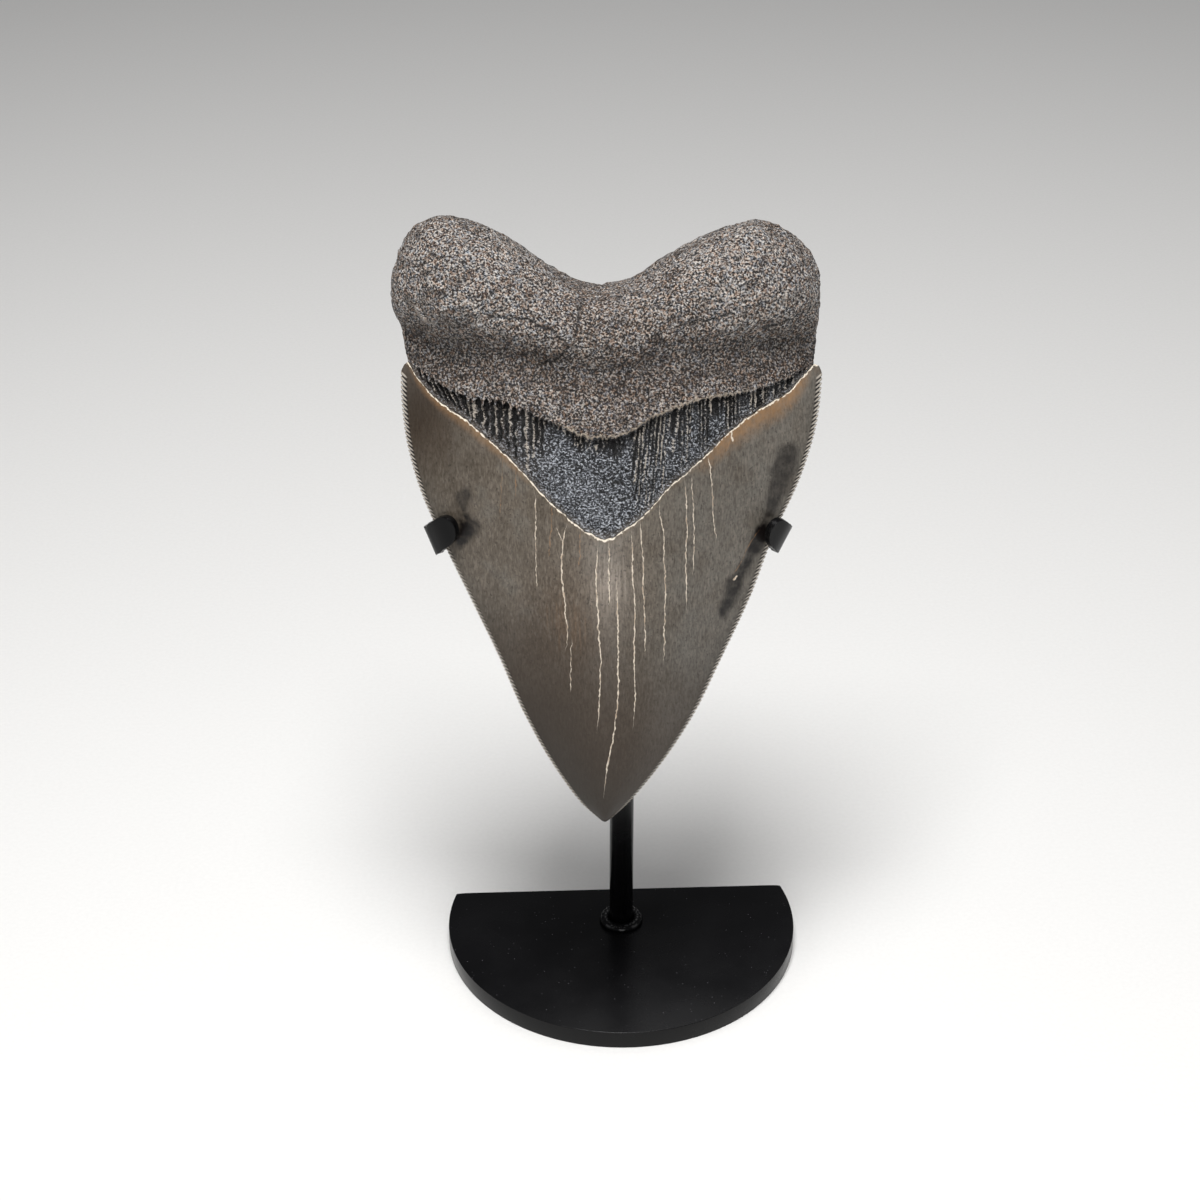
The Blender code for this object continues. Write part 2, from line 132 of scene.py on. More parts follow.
def black_powder_coat():
    """Black powder coat: satin, with the coat's faint orange peel, and dust lying on upward faces."""
    cloud_size, peel_size, dust_spacing, dust_patch = 14.3 * MM, 0.7 * MM, 1.1 * MM, 2.3 * MM
    dust_film, speck_strength = 0.025, 0.6
    material, tree, shader = new_material("black powder coat on mild steel")
    place = put(tree, "TexCoord", give=3)
    patches = put(tree, "TexNoise", {"Vector": place, "Scale": 1 / cloud_size, "Detail": 4.0})
    rough = put(tree, "MapRange", {"Value": patches, "From Min": 0.3, "From Max": 0.7,
                                   "To Min": 0.20, "To Max": 0.30})
    peel = put(tree, "TexNoise", {"Vector": place, "Scale": 1 / peel_size, "Detail": 2.0})
    bump = put(tree, "Bump", {"Height": peel, "Strength": 0.25, "Distance": 0.02 * MM})
    up = put(tree, "SeparateXYZ", {"Vector": put(tree, "NewGeometry", give=1)}, give=2)
    level = put(tree, "MapRange", {"Value": up, "From Min": 0.6, "From Max": 0.95})
    grit = put(tree, "TexVoronoi", {"Vector": place, "Scale": 1 / dust_spacing})
    speck = put(tree, "MapRange", {"Value": grit, "From Min": 0.14, "From Max": 0.05})
    thin = put(tree, "TexNoise", {"Vector": place, "Scale": 1 / dust_patch, "Detail": 1.0})
    some = put(tree, "MapRange", {"Value": thin, "From Min": 0.55, "From Max": 0.62})
    speck = put(tree, "Math", {0: speck, 1: some}, operation="MULTIPLY")
    speck = put(tree, "Math", {0: speck, 1: level}, operation="MULTIPLY")
    film = put(tree, "Math", {0: patches, 1: level}, operation="MULTIPLY")
    film = put(tree, "Math", {0: film, 1: dust_film}, operation="MULTIPLY")
    dust = put(tree, "Math", {0: speck, 1: speck_strength, 2: film}, operation="MULTIPLY_ADD")
    colour = put(tree, "Mix", {0: dust, 6: linear("#040405"), 7: linear("#77757a")}, 2, data_type="RGBA")
    tree.links.new(colour, shader.inputs["Base Color"])
    tree.links.new(rough, shader.inputs["Roughness"])
    tree.links.new(bump, shader.inputs["Normal"])
    shader.inputs["Specular IOR Level"].default_value = 0.22
    return material


def round_edges(piece, name, width, segments, sharper_than):
    """Rounds the edges where the faces turn by more than some degrees."""
    rounding = piece.modifiers.new(name, "BEVEL")
    rounding.width = width
    rounding.segments = segments
    rounding.limit_method = "ANGLE"
    rounding.angle_limit = math.radians(sharper_than)


def settle(piece, material, *nodes):
    """Applies a piece's modifiers and place, gives it its finish, and lets it stand for its nodes."""
    bpy.ops.object.select_all(action="DESELECT")
    piece.select_set(True)
    bpy.context.view_layer.objects.active = piece
    for modifier in list(piece.modifiers):
        bpy.ops.object.modifier_apply(modifier=modifier.name)
    bpy.ops.object.transform_apply(location=True, rotation=True, scale=True)
    piece.data.materials.clear()
    piece.data.materials.append(material)
    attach(piece, "root")
    if nodes:
        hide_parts(*nodes)


def pick(piece, keep, kind):
    """In edit mode, selects only the faces or edges that keep says yes to."""
    mesh = bmesh.from_edit_mesh(piece.data)
    for everything in (mesh.faces, mesh.edges, mesh.verts):
        for item in everything:
            item.select = False
    for item in getattr(mesh, kind):
        if keep(item):
            item.select_set(True)
    bmesh.update_edit_mesh(piece.data)


black_coat = black_powder_coat()

bpy.ops.object.select_all(action="DESELECT")
bpy.ops.mesh.primitive_cylinder_add(vertices=192, radius=PLATE_RADIUS, depth=PLATE_THICKNESS,
                                    location=(0.0, 0.0, PLATE_THICKNESS / 2))
plate = bpy.context.object
plate.name = "stand_plate"
bpy.ops.object.mode_set(mode="EDIT")
bpy.ops.mesh.bisect(plane_co=(0.0, PLATE_BACK, 0.0), plane_no=(0.0, 1.0, 0.0), use_fill=True,
                    clear_outer=True)
pick(plate, lambda edge: all(abs(v.co.y - PLATE_BACK) < SAME_PLACE for v in edge.verts)
     and abs(edge.verts[0].co.z - edge.verts[1].co.z) > PLATE_THICKNESS / 2, "edges")
bpy.ops.mesh.bevel(offset=PLATE_CORNER, segments=12, profile=0.5)
bpy.ops.mesh.select_all(action="SELECT")
bpy.ops.mesh.remove_doubles(threshold=SAME_PLACE)
bpy.ops.object.mode_set(mode="OBJECT")
round_edges(plate, "filed edges", PLATE_EDGE, 4, 40)
settle(plate, black_coat, "base_plate")
bpy.ops.object.shade_smooth_by_angle(angle=math.radians(30))

# ---------------------------------------------------------------------------------------------
# The post: 6 mm round mild steel rod, its top end chamfered, standing in a bead of weld that
# goes once round its foot. The bead's ripples show through the coat.
ROD_RADIUS = 3.0 * MM
ROD_TOP = 138.2 * MM
ROD_CHAMFER = 0.5 * MM
ROD_FOOT = PLATE_THICKNESS + 0.3 * MM
BEAD_RADIUS = 5.3 * MM
BEAD_SINK = 0.25 * MM
BEAD_LIFT = 0.1 * MM
BEAD_RIPPLES = 22
RIPPLE_DEPTH = 0.05

bpy.ops.object.select_all(action="DESELECT")
bpy.ops.mesh.primitive_cylinder_add(vertices=64, radius=ROD_RADIUS, depth=ROD_TOP - ROD_FOOT,
                                    location=(0.0, 0.0, (ROD_TOP + ROD_FOOT) / 2))
rod = bpy.context.object
rod.name = "stand_rod"
round_edges(rod, "chamfered end", ROD_CHAMFER, 3, 60)
settle(rod, black_coat, "post")
bpy.ops.object.shade_smooth_by_angle(angle=math.radians(35))

bpy.ops.object.select_all(action="DESELECT")
bpy.ops.mesh.primitive_torus_add(major_segments=120, minor_segments=20,
                                 major_radius=(ROD_RADIUS + BEAD_RADIUS) / 2,
                                 minor_radius=(BEAD_RADIUS - ROD_RADIUS) / 2 + BEAD_SINK,
                                 location=(0.0, 0.0, ROD_FOOT + BEAD_LIFT))
bead = bpy.context.object
bead.name = "foot_weld"
for vert in bead.data.vertices:
    turn = math.atan2(vert.co.y, vert.co.x)
    ripple = RIPPLE_DEPTH * math.sin(BEAD_RIPPLES * turn + 1.5 * math.sin(3 * turn))
    vert.co.z = max(vert.co.z * (1.0 + ripple), -BEAD_LIFT)
settle(bead, black_coat, "post")
bpy.ops.object.shade_smooth_by_angle(angle=math.radians(50))

# ---------------------------------------------------------------------------------------------
# The two arms: flat mild steel strip, welded to the top of the rod where they meet in a mitre.
# Each runs down and out behind the blade, bends forwards round its edge, and ends in a lip with
# a round end that holds the face. Coated with the rest of the stand.
TIP_PLACE = Vector((-5.9, -38.0, 63.7)) * MM
LEAN = math.radians(20.0)
STRIP_WIDTH = 7.0
STRIP_THICKNESS = 1.8
STRIP_ROUNDING = 0.35
ARM_ROOT_ACROSS = 5.9
ARM_ROOT_UP = 86.0
ARM_ROOT_BEHIND = 6.0
ARM_INNER_END = 0.35
ARM_MIDDLE_BEHIND = 5.3
ARM_BEND = [(7.0, 3.0), (2.4, 2.0), (0.4, 0.5), (0.0, -1.7)]
ARM_EDGE_GAP = 0.7
# Each arm's side, the degrees it drops, and how far its lip runs in, forwards and along the edge.
ARMS = {"left": (-1, 21.6, (6.4, 4.8, 2.0), "left_arm"), "right": (1, 27.9, (4.6, 5.2, 1.5), "right_arm")}

# The tooth's outline seen square on, in millimetres from its tip: across, and up the tooth.
TIP_LINE = [(-0.9, 0.4), (0.0, 0.0), (0.9, 0.4)]
LEFT_EDGE = [(-0.9, 0.4), (-5.1, 4.3), (-10.4, 11.7), (-18.3, 26.3), (-24.2, 40.8), (-30.6, 55.1),
             (-36.8, 69.0), (-41.2, 80.0), (-43.8, 90.2), (-44.8, 99.0), (-44.9, 104.6),
             (-44.7, 107.2), (-44.0, 108.6)]
RIGHT_EDGE = [(0.9, 0.4), (5.0, 4.0), (11.2, 11.1), (20.9, 25.4), (27.8, 39.5), (34.4, 53.6),
              (39.9, 68.0), (46.2, 81.5), (50.1, 95.0), (50.9, 102.1), (51.0, 104.8), (50.4, 106.5)]


def along(points, fractions):
    """Places on a smooth curve through the points, at fractions of its length."""
    points = np.asarray(points, dtype=float)
    fractions = np.asarray(fractions, dtype=float)
    lengths = np.linalg.norm(np.diff(points, axis=0), axis=1)
    knots = np.concatenate([[0.0], np.cumsum(lengths)]) / lengths.sum()
    slopes = np.gradient(points, knots, axis=0)
    flat = fractions.ravel()
    span = np.clip(np.searchsorted(knots, flat, side="right") - 1, 0, len(knots) - 2)
    width = knots[span + 1] - knots[span]
    t = ((flat - knots[span]) / width)[:, None]
    width = width[:, None]
    start = points[span] * (1 + 2 * t) * (1 - t) ** 2 + slopes[span] * width * t * (1 - t) ** 2
    end = points[span + 1] * t * t * (3 - 2 * t) - slopes[span + 1] * width * t * t * (1 - t)
    return (start + end).reshape(*fractions.shape, points.shape[1])


def blade_reach(edge_line, side, drop):
    """How far out an arm's strip first clears the crown's edge, from the place where it is welded on."""
    away = along(edge_line, np.linspace(0.0, 1.0, 400)) - (ARM_ROOT_ACROSS, ARM_ROOT_UP)
    out = side * away[:, 0] * math.cos(drop) - away[:, 1] * math.sin(drop)
    up = side * away[:, 0] * math.sin(drop) + away[:, 1] * math.cos(drop)
    return out[np.abs(up) < STRIP_WIDTH / 2].max()


def turn_outwards():
    """Turns every face of the active piece outwards."""
    bpy.ops.object.mode_set(mode="EDIT")
    bpy.ops.mesh.select_all(action="SELECT")
    bpy.ops.mesh.normals_make_consistent(inside=False)
    bpy.ops.object.mode_set(mode="OBJECT")


seat = Matrix.Translation(TIP_PLACE) @ Matrix.Rotation(-LEAN, 4, "X") @ Matrix.Diagonal((MM, MM, MM, 1.0))
for arm_name, (side, drop_degrees, lip, node) in ARMS.items():
    drop = math.radians(drop_degrees)
    edge_line = LEFT_EDGE if side < 0 else RIGHT_EDGE
    reach = blade_reach(edge_line, side, drop) + ARM_EDGE_GAP + STRIP_THICKNESS / 2
    route = [(ARM_INNER_END, ARM_ROOT_BEHIND, 0.0), (reach / 2, ARM_MIDDLE_BEHIND, 0.0)]
    route += [(reach - inwards, behind, 0.0) for inwards, behind in ARM_BEND]
    lip_in, lip_forward, lip_along = lip
    route += [(reach - lip_in * part ** 1.5, ARM_BEND[-1][1] - lip_forward * part, lip_along * part)
              for part in (0.35, 1.0)]
    bpy.ops.object.select_all(action="DESELECT")
    bpy.ops.mesh.primitive_grid_add(x_subdivisions=110, y_subdivisions=18, size=1.0)
    arm = bpy.context.object
    arm.name = arm_name + "_strip"
    length = np.linalg.norm(np.diff(route, axis=0), axis=1).sum()
    flat = np.array([vert.co[:2] for vert in arm.data.vertices])
    sideways = flat[:, 1] * STRIP_WIDTH
    tip_loss = STRIP_WIDTH / 2 - np.sqrt(np.maximum(0.0, (STRIP_WIDTH / 2) ** 2 - sideways ** 2))
    fraction = (flat[:, 0] + 0.5) * (1.0 - tip_loss / length)
    run, behind, lift = along(route, fraction).T
    run = run - sideways * math.tan(drop) * np.maximum(0.0, 1.0 - 4.0 * fraction)
    sideways = sideways + lift
    for vert, across_place, back, up in zip(
            arm.data.vertices, side * (run * math.cos(drop) + sideways * math.sin(drop)) + ARM_ROOT_ACROSS,
            behind, ARM_ROOT_UP - run * math.sin(drop) + sideways * math.cos(drop)):
        vert.co = seat @ Vector((across_place, back, up))
    wall = arm.modifiers.new("strip thickness", "SOLIDIFY")
    wall.thickness = STRIP_THICKNESS * MM
    wall.offset = 0.0
    wall.use_even_offset = True
    round_edges(arm, "rolled edges", STRIP_ROUNDING * MM, 3, 50)
    settle(arm, black_coat, node)
    turn_outwards()
    bpy.ops.object.shade_smooth_by_angle(angle=math.radians(40))

# ---------------------------------------------------------------------------------------------
# The weld at the top: one bead of steel laid from the end of the rod up the seam where the two
# strips meet. It closes the mitre and stands a little proud behind, rippled, under the same coat.
SEAM_ROUTE = [(ARM_ROOT_ACROSS, 10.4, 82.0), (ARM_ROOT_ACROSS, 8.2, 82.6), (ARM_ROOT_ACROSS, 7.1, 84.6),
              (ARM_ROOT_ACROSS, 6.9, 87.0), (ARM_ROOT_ACROSS, 6.7, 90.0)]
SEAM_FOOT_RADIUS = 2.4
SEAM_TOP_RADIUS = 1.3
SEAM_RIPPLES = 9

bpy.ops.object.select_all(action="DESELECT")
bpy.ops.mesh.primitive_uv_sphere_add(segments=32, ring_count=64, radius=1.0)
seam = bpy.context.object
seam.name = "arm_weld"
for vert in seam.data.vertices:
    from_foot = math.acos(max(-1.0, min(1.0, -vert.co.z))) / math.pi
    before, middle, after = (Vector(place) for place in along(
        SEAM_ROUTE, [max(from_foot - 0.01, 0.0), from_foot, min(from_foot + 0.01, 1.0)]).tolist())
    outward = (after - before).cross(Vector((1.0, 0.0, 0.0))).normalized()
    thick = SEAM_FOOT_RADIUS + (SEAM_TOP_RADIUS - SEAM_FOOT_RADIUS) * min(1.0, 1.6 * from_foot)
    thick *= 1.0 + RIPPLE_DEPTH * math.sin(2 * math.pi * SEAM_RIPPLES * from_foot)
    ring = math.hypot(vert.co.x, vert.co.y)
    fill = thick * math.sqrt(ring) / max(ring, 1e-6)
    vert.co = seat @ (middle + Vector((vert.co.x * fill, 0.0, 0.0)) + outward * vert.co.y * fill)
settle(seam, black_coat)
turn_outwards()
bpy.ops.object.shade_smooth_by_angle(angle=math.radians(60))

# ---------------------------------------------------------------------------------------------
# The tooth: a fossil, all of it mineral now. Its blade is a skin of glossy olive-grey enamel with
# saw-toothed edges, cracked lengthwise, the cracks filled with pale mineral. Above the enamel
# lies a sunken dark band of ribbed, beaded tissue, and above that the two-lobed root, bone turned
# to a hard grey-brown stone with an open grain.
ENAMEL_LINE = [(-44.0, 108.6), (-40.5, 105.4), (-36.0, 100.4), (-31.6, 97.7), (-27.2, 94.2), (-22.8, 90.3),
               (-18.4, 86.0), (-14.0, 81.0), (-9.6, 76.5), (-6.3, 73.7), (-3.0, 71.4), (-0.8, 70.3),
               (1.9, 70.2), (3.8, 71.5), (8.3, 74.6), (11.9, 78.2), (14.7, 81.4), (19.8, 85.3), (23.4, 88.3),
               (29.1, 93.5), (36.1, 97.7), (43.3, 101.6), (50.4, 106.5)]
ENAMEL_RIM = [(-43.1, 109.3), (-42.2, 107.8)] + ENAMEL_LINE[1:-1] + [(45.4, 103.6), (49.1, 107.0)]
BACK_ENAMEL_LINE = [(-44.0, 108.6), (-36.0, 105.5), (-24.0, 101.0), (-10.0, 97.0), (2.0, 95.6),
                    (14.0, 96.4), (28.0, 99.8), (40.0, 103.6), (50.4, 106.5)]
ROOT_LINE = [(-43.1, 109.3), (-41.0, 108.2), (-36.1, 104.6), (-30.3, 102.0), (-24.3, 101.6), (-19.2, 100.4),
             (-10.2, 96.4), (-1.1, 93.2), (3.5, 93.5), (11.4, 97.7), (21.4, 100.7), (35.5, 102.6),
             (43.5, 104.6), (49.1, 107.0)]
LEFT_ROOT_SIDE = [(-43.1, 109.3), (-44.7, 117.4), (-46.3, 121.6), (-46.4, 128.0), (-44.7, 134.4)]
RIGHT_ROOT_SIDE = [(49.1, 107.0), (50.1, 115.8), (50.6, 122.6), (49.9, 129.4), (48.3, 132.8)]
TOP_LINE = [(-44.7, 134.4), (-41.4, 139.0), (-35.0, 142.0), (-28.8, 141.0), (-18.1, 135.8), (-7.4, 128.4),
            (0.7, 126.0), (8.8, 127.8), (18.0, 133.6), (27.0, 137.6), (36.1, 139.8), (43.3, 137.2),
            (48.3, 132.8)]

# The depths of the blade and the root, as in the solid, in millimetres. Places along the root's height
# and width, and powers, are plain fractions and numbers.
BAND_FOOT_UP = 70.0
CROWN_LENGTH = 110.0
CROWN_FRONT, CROWN_FRONT_POWER, CROWN_RIDGE = 13.5, 0.62, 0.35
CROWN_BACK, CROWN_BACK_POWER, CROWN_BACK_FALL = 5.0, 0.5, 2.2
EDGE_BOW = 1.6
ENAMEL_STEP, ROOT_STEP, BAND_RISE = 0.6, 0.9, 0.8
BAND_FRONT_ROUNDING, BAND_BACK_ROUNDING, STEP_START, STEP_FADE = 2.0, 1.5, 0.07, 0.15
BULGE_MIDDLE, BULGE_LOSS, BULGE_POWER, BULGE_START, BULGE_LENGTH = 18.5, 8.0, 1.5, -0.05, 0.38
HOLLOW_DEPTH, HOLLOW_SIDE_DEPTH, HOLLOW_WIDTH = 1.7, 0.6, 0.12
HOLLOW_MIDDLE_PLACE, HOLLOW_SIDE_DROP, HOLLOW_SIDE_START = 0.44, 0.2, 0.6
FRONT_ROUNDING, FRONT_ROUNDING_LENGTH = 13.0, 0.5
BACK_ROUNDING, BACK_ROUNDING_LENGTH = 6.5, 0.4
ROOT_BACK, ROOT_BACK_LENGTH = 7.2, 0.45
ROOT_LUMPS, LUMP_SIZE = 0.40, 5.0

# The mesh: one coarse row for each saw tooth, six fine rows in the strips along the edges, and
# four fine columns to each coarse one above the enamel's rim. The real saw has 155 teeth to a side,
# 0.76 mm apart. They are drawn at 1.05 mm, as coarse as they need to be to show.
SAW_TEETH, ROWS_PER_TOOTH = 112, 6
SAW_DEPTH = 0.70
RIM_RISE, SAW_FADE = 0.988, 0.015
STRIP_COLUMNS = np.array([0.0, 0.15, 0.38, 0.70, 1.15, 1.8])
NARROW_ROW = 12.0
MIDDLE_COLUMNS = 80
FINER = 4
RIM_ROWS, BAND_ROWS, ROOT_ROWS = 5, 34, 84
EVENING_ROWS = 45.0


def smoothstep(value):
    """0 below 0, 1 above 1, and a smooth slope between."""
    value = np.clip(value, 0.0, 1.0)
    return value * value * (3.0 - 2.0 * value)


def rise(value, start, end):
    """How far a value is on its way from start to end, whichever of them is the larger: 0 to 1."""
    return smoothstep((value - start) / (end - start))


def patch(low, high, left, right, rises, across):
    """Places that fill a patch between four lines; across holds one row of fractions for each rise."""
    s = across[..., None]
    v = rises[:, None, None]
    ends = [np.asarray(line, dtype=float) for line in (low, high)]
    corners = ((1 - s) * (1 - v) * ends[0][0] + s * (1 - v) * ends[0][-1]
               + (1 - s) * v * ends[1][0] + s * v * ends[1][-1])
    return ((1 - v) * along(low, across) + v * along(high, across)
            + (1 - s) * along(left, rises)[:, None] + s * along(right, rises)[:, None] - corners)


def distance_to_line(places, line):
    """Distance of each place from the nearest stretch of a line of points."""
    nearest = np.full(places.shape[:-1], np.inf)
    for start, end in zip(line[:-1], line[1:]):
        run = end - start
        t = np.clip(((places - start) @ run) / max(run @ run, 1e-9), 0.0, 1.0)
        nearest = np.minimum(nearest, np.linalg.norm(places - start - t[..., None] * run, axis=-1))
    return nearest


def round_over(distance, radius):
    """How full a rounded edge is at a distance in from it: 0 on the edge, 1 at the radius."""
    return np.sqrt(1.0 - (1.0 - np.clip(distance / radius, 0.0, 1.0)) ** 2)


def blade_sides(z):
    """Where the blade's left and right edges are at each height."""
    fine = np.linspace(0.0, 1.0, 400)
    return [np.interp(z, *along(line, fine).T[::-1]) for line in (LEFT_EDGE, RIGHT_EDGE)]


def crown_depths(places):
    """Front and back depth of the blade's lens-shaped section at each place."""
    x, z = places[..., 0], places[..., 1]
    left_x, right_x = blade_sides(z)
    u = np.clip(np.abs((2 * x - left_x - right_x) / (right_x - left_x)), 0.0, 1.0)
    height = np.maximum(z, 0.0) / BAND_FOOT_UP
    front = CROWN_FRONT * height ** CROWN_FRONT_POWER * (1 - u * u) * (1 - CROWN_RIDGE * u * u)
    back = CROWN_BACK * height ** CROWN_BACK_POWER * (1 - u ** CROWN_BACK_FALL)
    return front, back


def waver(x, size, seed):
    """A smooth wandering value along the tooth, from -1 to 1 about every size millimetres."""
    return np.array([noise.noise(Vector((value / size, seed, 0.3))) for value in x.ravel()]).reshape(x.shape)


def above(line, places):
    """How far above a line across the tooth each place lies."""
    return places[..., 1] - np.interp(places[..., 0], *along(line, np.linspace(0.0, 1.0, 800)).T)


# Where the columns stand on each row: close together along the edges, even between.
fine_rises = np.linspace(0.0, RIM_RISE, SAW_TEETH * ROWS_PER_TOOTH + 1)
row_width = np.linalg.norm(along(RIGHT_EDGE, fine_rises) - along(LEFT_EDGE, fine_rises), axis=1)
narrowing = np.minimum(1.0, row_width / NARROW_ROW)
inward = STRIP_COLUMNS * narrowing[:, None]
side_u = 1.0 - 2.0 * inward / row_width[:, None]
middle_u = side_u[:, -1:] * np.linspace(-1.0, 1.0, MIDDLE_COLUMNS + 1)
crown_u = np.concatenate([-side_u[:, :-1], middle_u, side_u[:, -2::-1]], axis=1)
columns = crown_u.shape[1]
strip = len(STRIP_COLUMNS)
crown = patch(TIP_LINE, ENAMEL_LINE, LEFT_EDGE, RIGHT_EDGE, fine_rises, (1 + crown_u) / 2)

rim_rises = np.linspace(RIM_RISE, 1.0, RIM_ROWS + 1)[1:]
band_rises = np.linspace(0.02, 0.97, BAND_ROWS)
root_rises = 1.0 - (1.0 - np.linspace(0.0, 1.0, ROOT_ROWS + 1)) ** 1.3
fine_u = np.interp(np.arange((columns - 1) * FINER + 1) / FINER, np.arange(columns), crown_u[-1])
turn = np.linspace(-1.0, 1.0, len(fine_u))
even_u = 0.6 * turn + 0.4 * np.sin(turn * math.pi / 2)
rows_above = RIM_ROWS + BAND_ROWS + ROOT_ROWS + 1
evened = smoothstep(np.arange(rows_above) / EVENING_ROWS)[:, None]
upper_u = fine_u * (1 - evened) + even_u * evened
rim_u, band_u, root_u = np.split(upper_u, [RIM_ROWS, RIM_ROWS + BAND_ROWS])
rim = patch(TIP_LINE, ENAMEL_LINE, LEFT_EDGE, RIGHT_EDGE, rim_rises, (1 + rim_u) / 2)
band = patch(ENAMEL_LINE, ROOT_LINE, [ENAMEL_LINE[0], ROOT_LINE[0]], [ENAMEL_LINE[-1], ROOT_LINE[-1]],
             band_rises, (1 + band_u) / 2)
root = patch(ROOT_LINE, TOP_LINE, LEFT_ROOT_SIDE, RIGHT_ROOT_SIDE, root_rises, (1 + root_u) / 2)

# The depths on each patch.
fine = np.linspace(0.0, 1.0, 60)
outline = np.concatenate([along(LEFT_EDGE, fine), along(LEFT_ROOT_SIDE, fine), along(TOP_LINE, fine),
                          along(RIGHT_ROOT_SIDE, fine)[::-1], along(RIGHT_EDGE, fine)[::-1]])
crown_front, crown_back = crown_depths(crown)
rim_front, rim_back = crown_depths(rim)

band_inset = distance_to_line(band, outline)
band_front, band_back = crown_depths(band)
band_fade = smoothstep((1 - np.abs(band_u) - STEP_START) / STEP_FADE)
band_front += (BAND_RISE * band_rises[:, None] - ENAMEL_STEP) * band_fade
band_front *= 1 - (1 - round_over(band_inset, BAND_FRONT_ROUNDING)) * band_rises[:, None]
band_back *= 1 - (1 - round_over(band_inset, BAND_BACK_ROUNDING)) * band_rises[:, None]

w, u = root_rises[:, None], np.abs(root_u)
side_fade = smoothstep((1 - u) / STEP_FADE)
foot_front, foot_back = crown_depths(along(ROOT_LINE, (1 + root_u) / 2))
foot_front = foot_front + (BAND_RISE - ENAMEL_STEP + ROOT_STEP) * side_fade
bulge = BULGE_MIDDLE - BULGE_LOSS * u ** BULGE_POWER
hollow_place = HOLLOW_MIDDLE_PLACE - HOLLOW_SIDE_DROP * smoothstep(u / HOLLOW_SIDE_START)
swell = smoothstep((w - hollow_place - BULGE_START) / BULGE_LENGTH)
hollow_shape = np.exp(-((w - hollow_place) / HOLLOW_WIDTH) ** 2)
root_inset = distance_to_line(root, outline)
front_radius, back_radius = (low + (high - low) * smoothstep(w / length) for low, high, length in (
    (BAND_FRONT_ROUNDING, FRONT_ROUNDING, FRONT_ROUNDING_LENGTH),
    (BAND_BACK_ROUNDING, BACK_ROUNDING, BACK_ROUNDING_LENGTH)))
root_front = (foot_front + (bulge - foot_front) * swell
              - (HOLLOW_DEPTH + HOLLOW_SIDE_DEPTH * u) * hollow_shape * side_fade)
root_front *= round_over(root_inset, front_radius)
thicken = smoothstep(w / ROOT_BACK_LENGTH)
root_back = foot_back * (1 - thicken) + (ROOT_BACK - u) * thicken
root_back *= round_over(root_inset, back_radius)

upper = np.concatenate([rim, band, root])
upper_front = np.concatenate([rim_front, band_front, root_front])
upper_back = np.concatenate([rim_back, band_back, root_back])

# Saw teeth: round beads with a notch at every sixth row. The notches run on as grooves for a
# millimetre over both faces and fade out. Each bead gets a painted highlight and each notch painted
# shade. The four lists hold one value for each strip column.
NOTCH_REACH = np.array([1.0, 0.85, 0.62, 0.32, 0.08, 0.0])
FACE_GROOVE = np.array([0.0, 0.75, 0.8, 0.65, 0.35, 0.0])
BEAD_HIGHLIGHT = np.array([1.0, 1.0, 1.0, 0.95, 0.70, 0.0])
NOTCH_SHADE = np.array([1.0, 1.0, 1.0, 1.0, 1.0, 0.0])
GROOVE_DEPTH = 0.5
saw_random = np.random.default_rng(7)
saw_row = np.arange(len(fine_rises))
between_beads = 1.0 - np.abs(np.sin(math.pi * (saw_row % ROWS_PER_TOOTH) / ROWS_PER_TOOTH))
saw_groove, saw_shade = between_beads ** 1.5, between_beads ** 0.6
saw_highlights, saw_notch_shades = np.zeros(crown.shape[:2]), np.zeros(crown.shape[:2])
for side_columns in (np.arange(strip), columns - 1 - np.arange(strip)):
    vigour = saw_random.uniform(0.7, 1.15, SAW_TEETH + 1)[saw_row // ROWS_PER_TOOTH]
    vigour *= smoothstep((RIM_RISE - fine_rises) / SAW_FADE)
    inwards = crown[:, side_columns[-1]] - crown[:, side_columns[0]]
    inwards /= np.linalg.norm(inwards, axis=1)[:, None]
    push = SAW_DEPTH * saw_groove * vigour * narrowing
    crown[:, side_columns] += push[:, None, None] * NOTCH_REACH[:, None] * inwards[:, None, :]
    carve = 1.0 - GROOVE_DEPTH * (saw_groove * vigour)[:, None] * FACE_GROOVE
    crown_front[:, side_columns] *= carve
    crown_back[:, side_columns] *= carve
    saw_highlights[:, side_columns] = (1 - saw_shade)[:, None] * BEAD_HIGHLIGHT
    saw_notch_shades[:, side_columns] = (saw_shade * vigour)[:, None] * NOTCH_SHADE

# The rims of the enamel and of the root are ragged. Each line wanders a little up and down.
ROOT_LINE_RAGGED = 0.45
ENAMEL_LINE_RAGGED = 0.36
RIDGE_PITCH, LEFT_RIDGE_PITCH = 1.05, 1.65
DRIP_LENGTH, LEFT_DRIP_LENGTH = 0.4, 1.5


def ridge_wave(x, sway=0.0):
    """The band's upright ridges: 1 on a ridge, 0 between. On the left they stand further apart."""
    fine = np.linspace(-60.0, 60.0, 2401)
    pitch = RIDGE_PITCH + (LEFT_RIDGE_PITCH - RIDGE_PITCH) * rise(fine, -11.0, -17.0)
    count = np.cumsum(1.0 / pitch) * (fine[1] - fine[0])
    turns = np.interp(x + 1.1 * waver(x, 3.1, 2.2) + 0.45 * waver(x, 1.1, 4.7) + sway, fine, count)
    return (0.5 + 0.5 * np.cos(2 * math.pi * turns)) ** 1.2


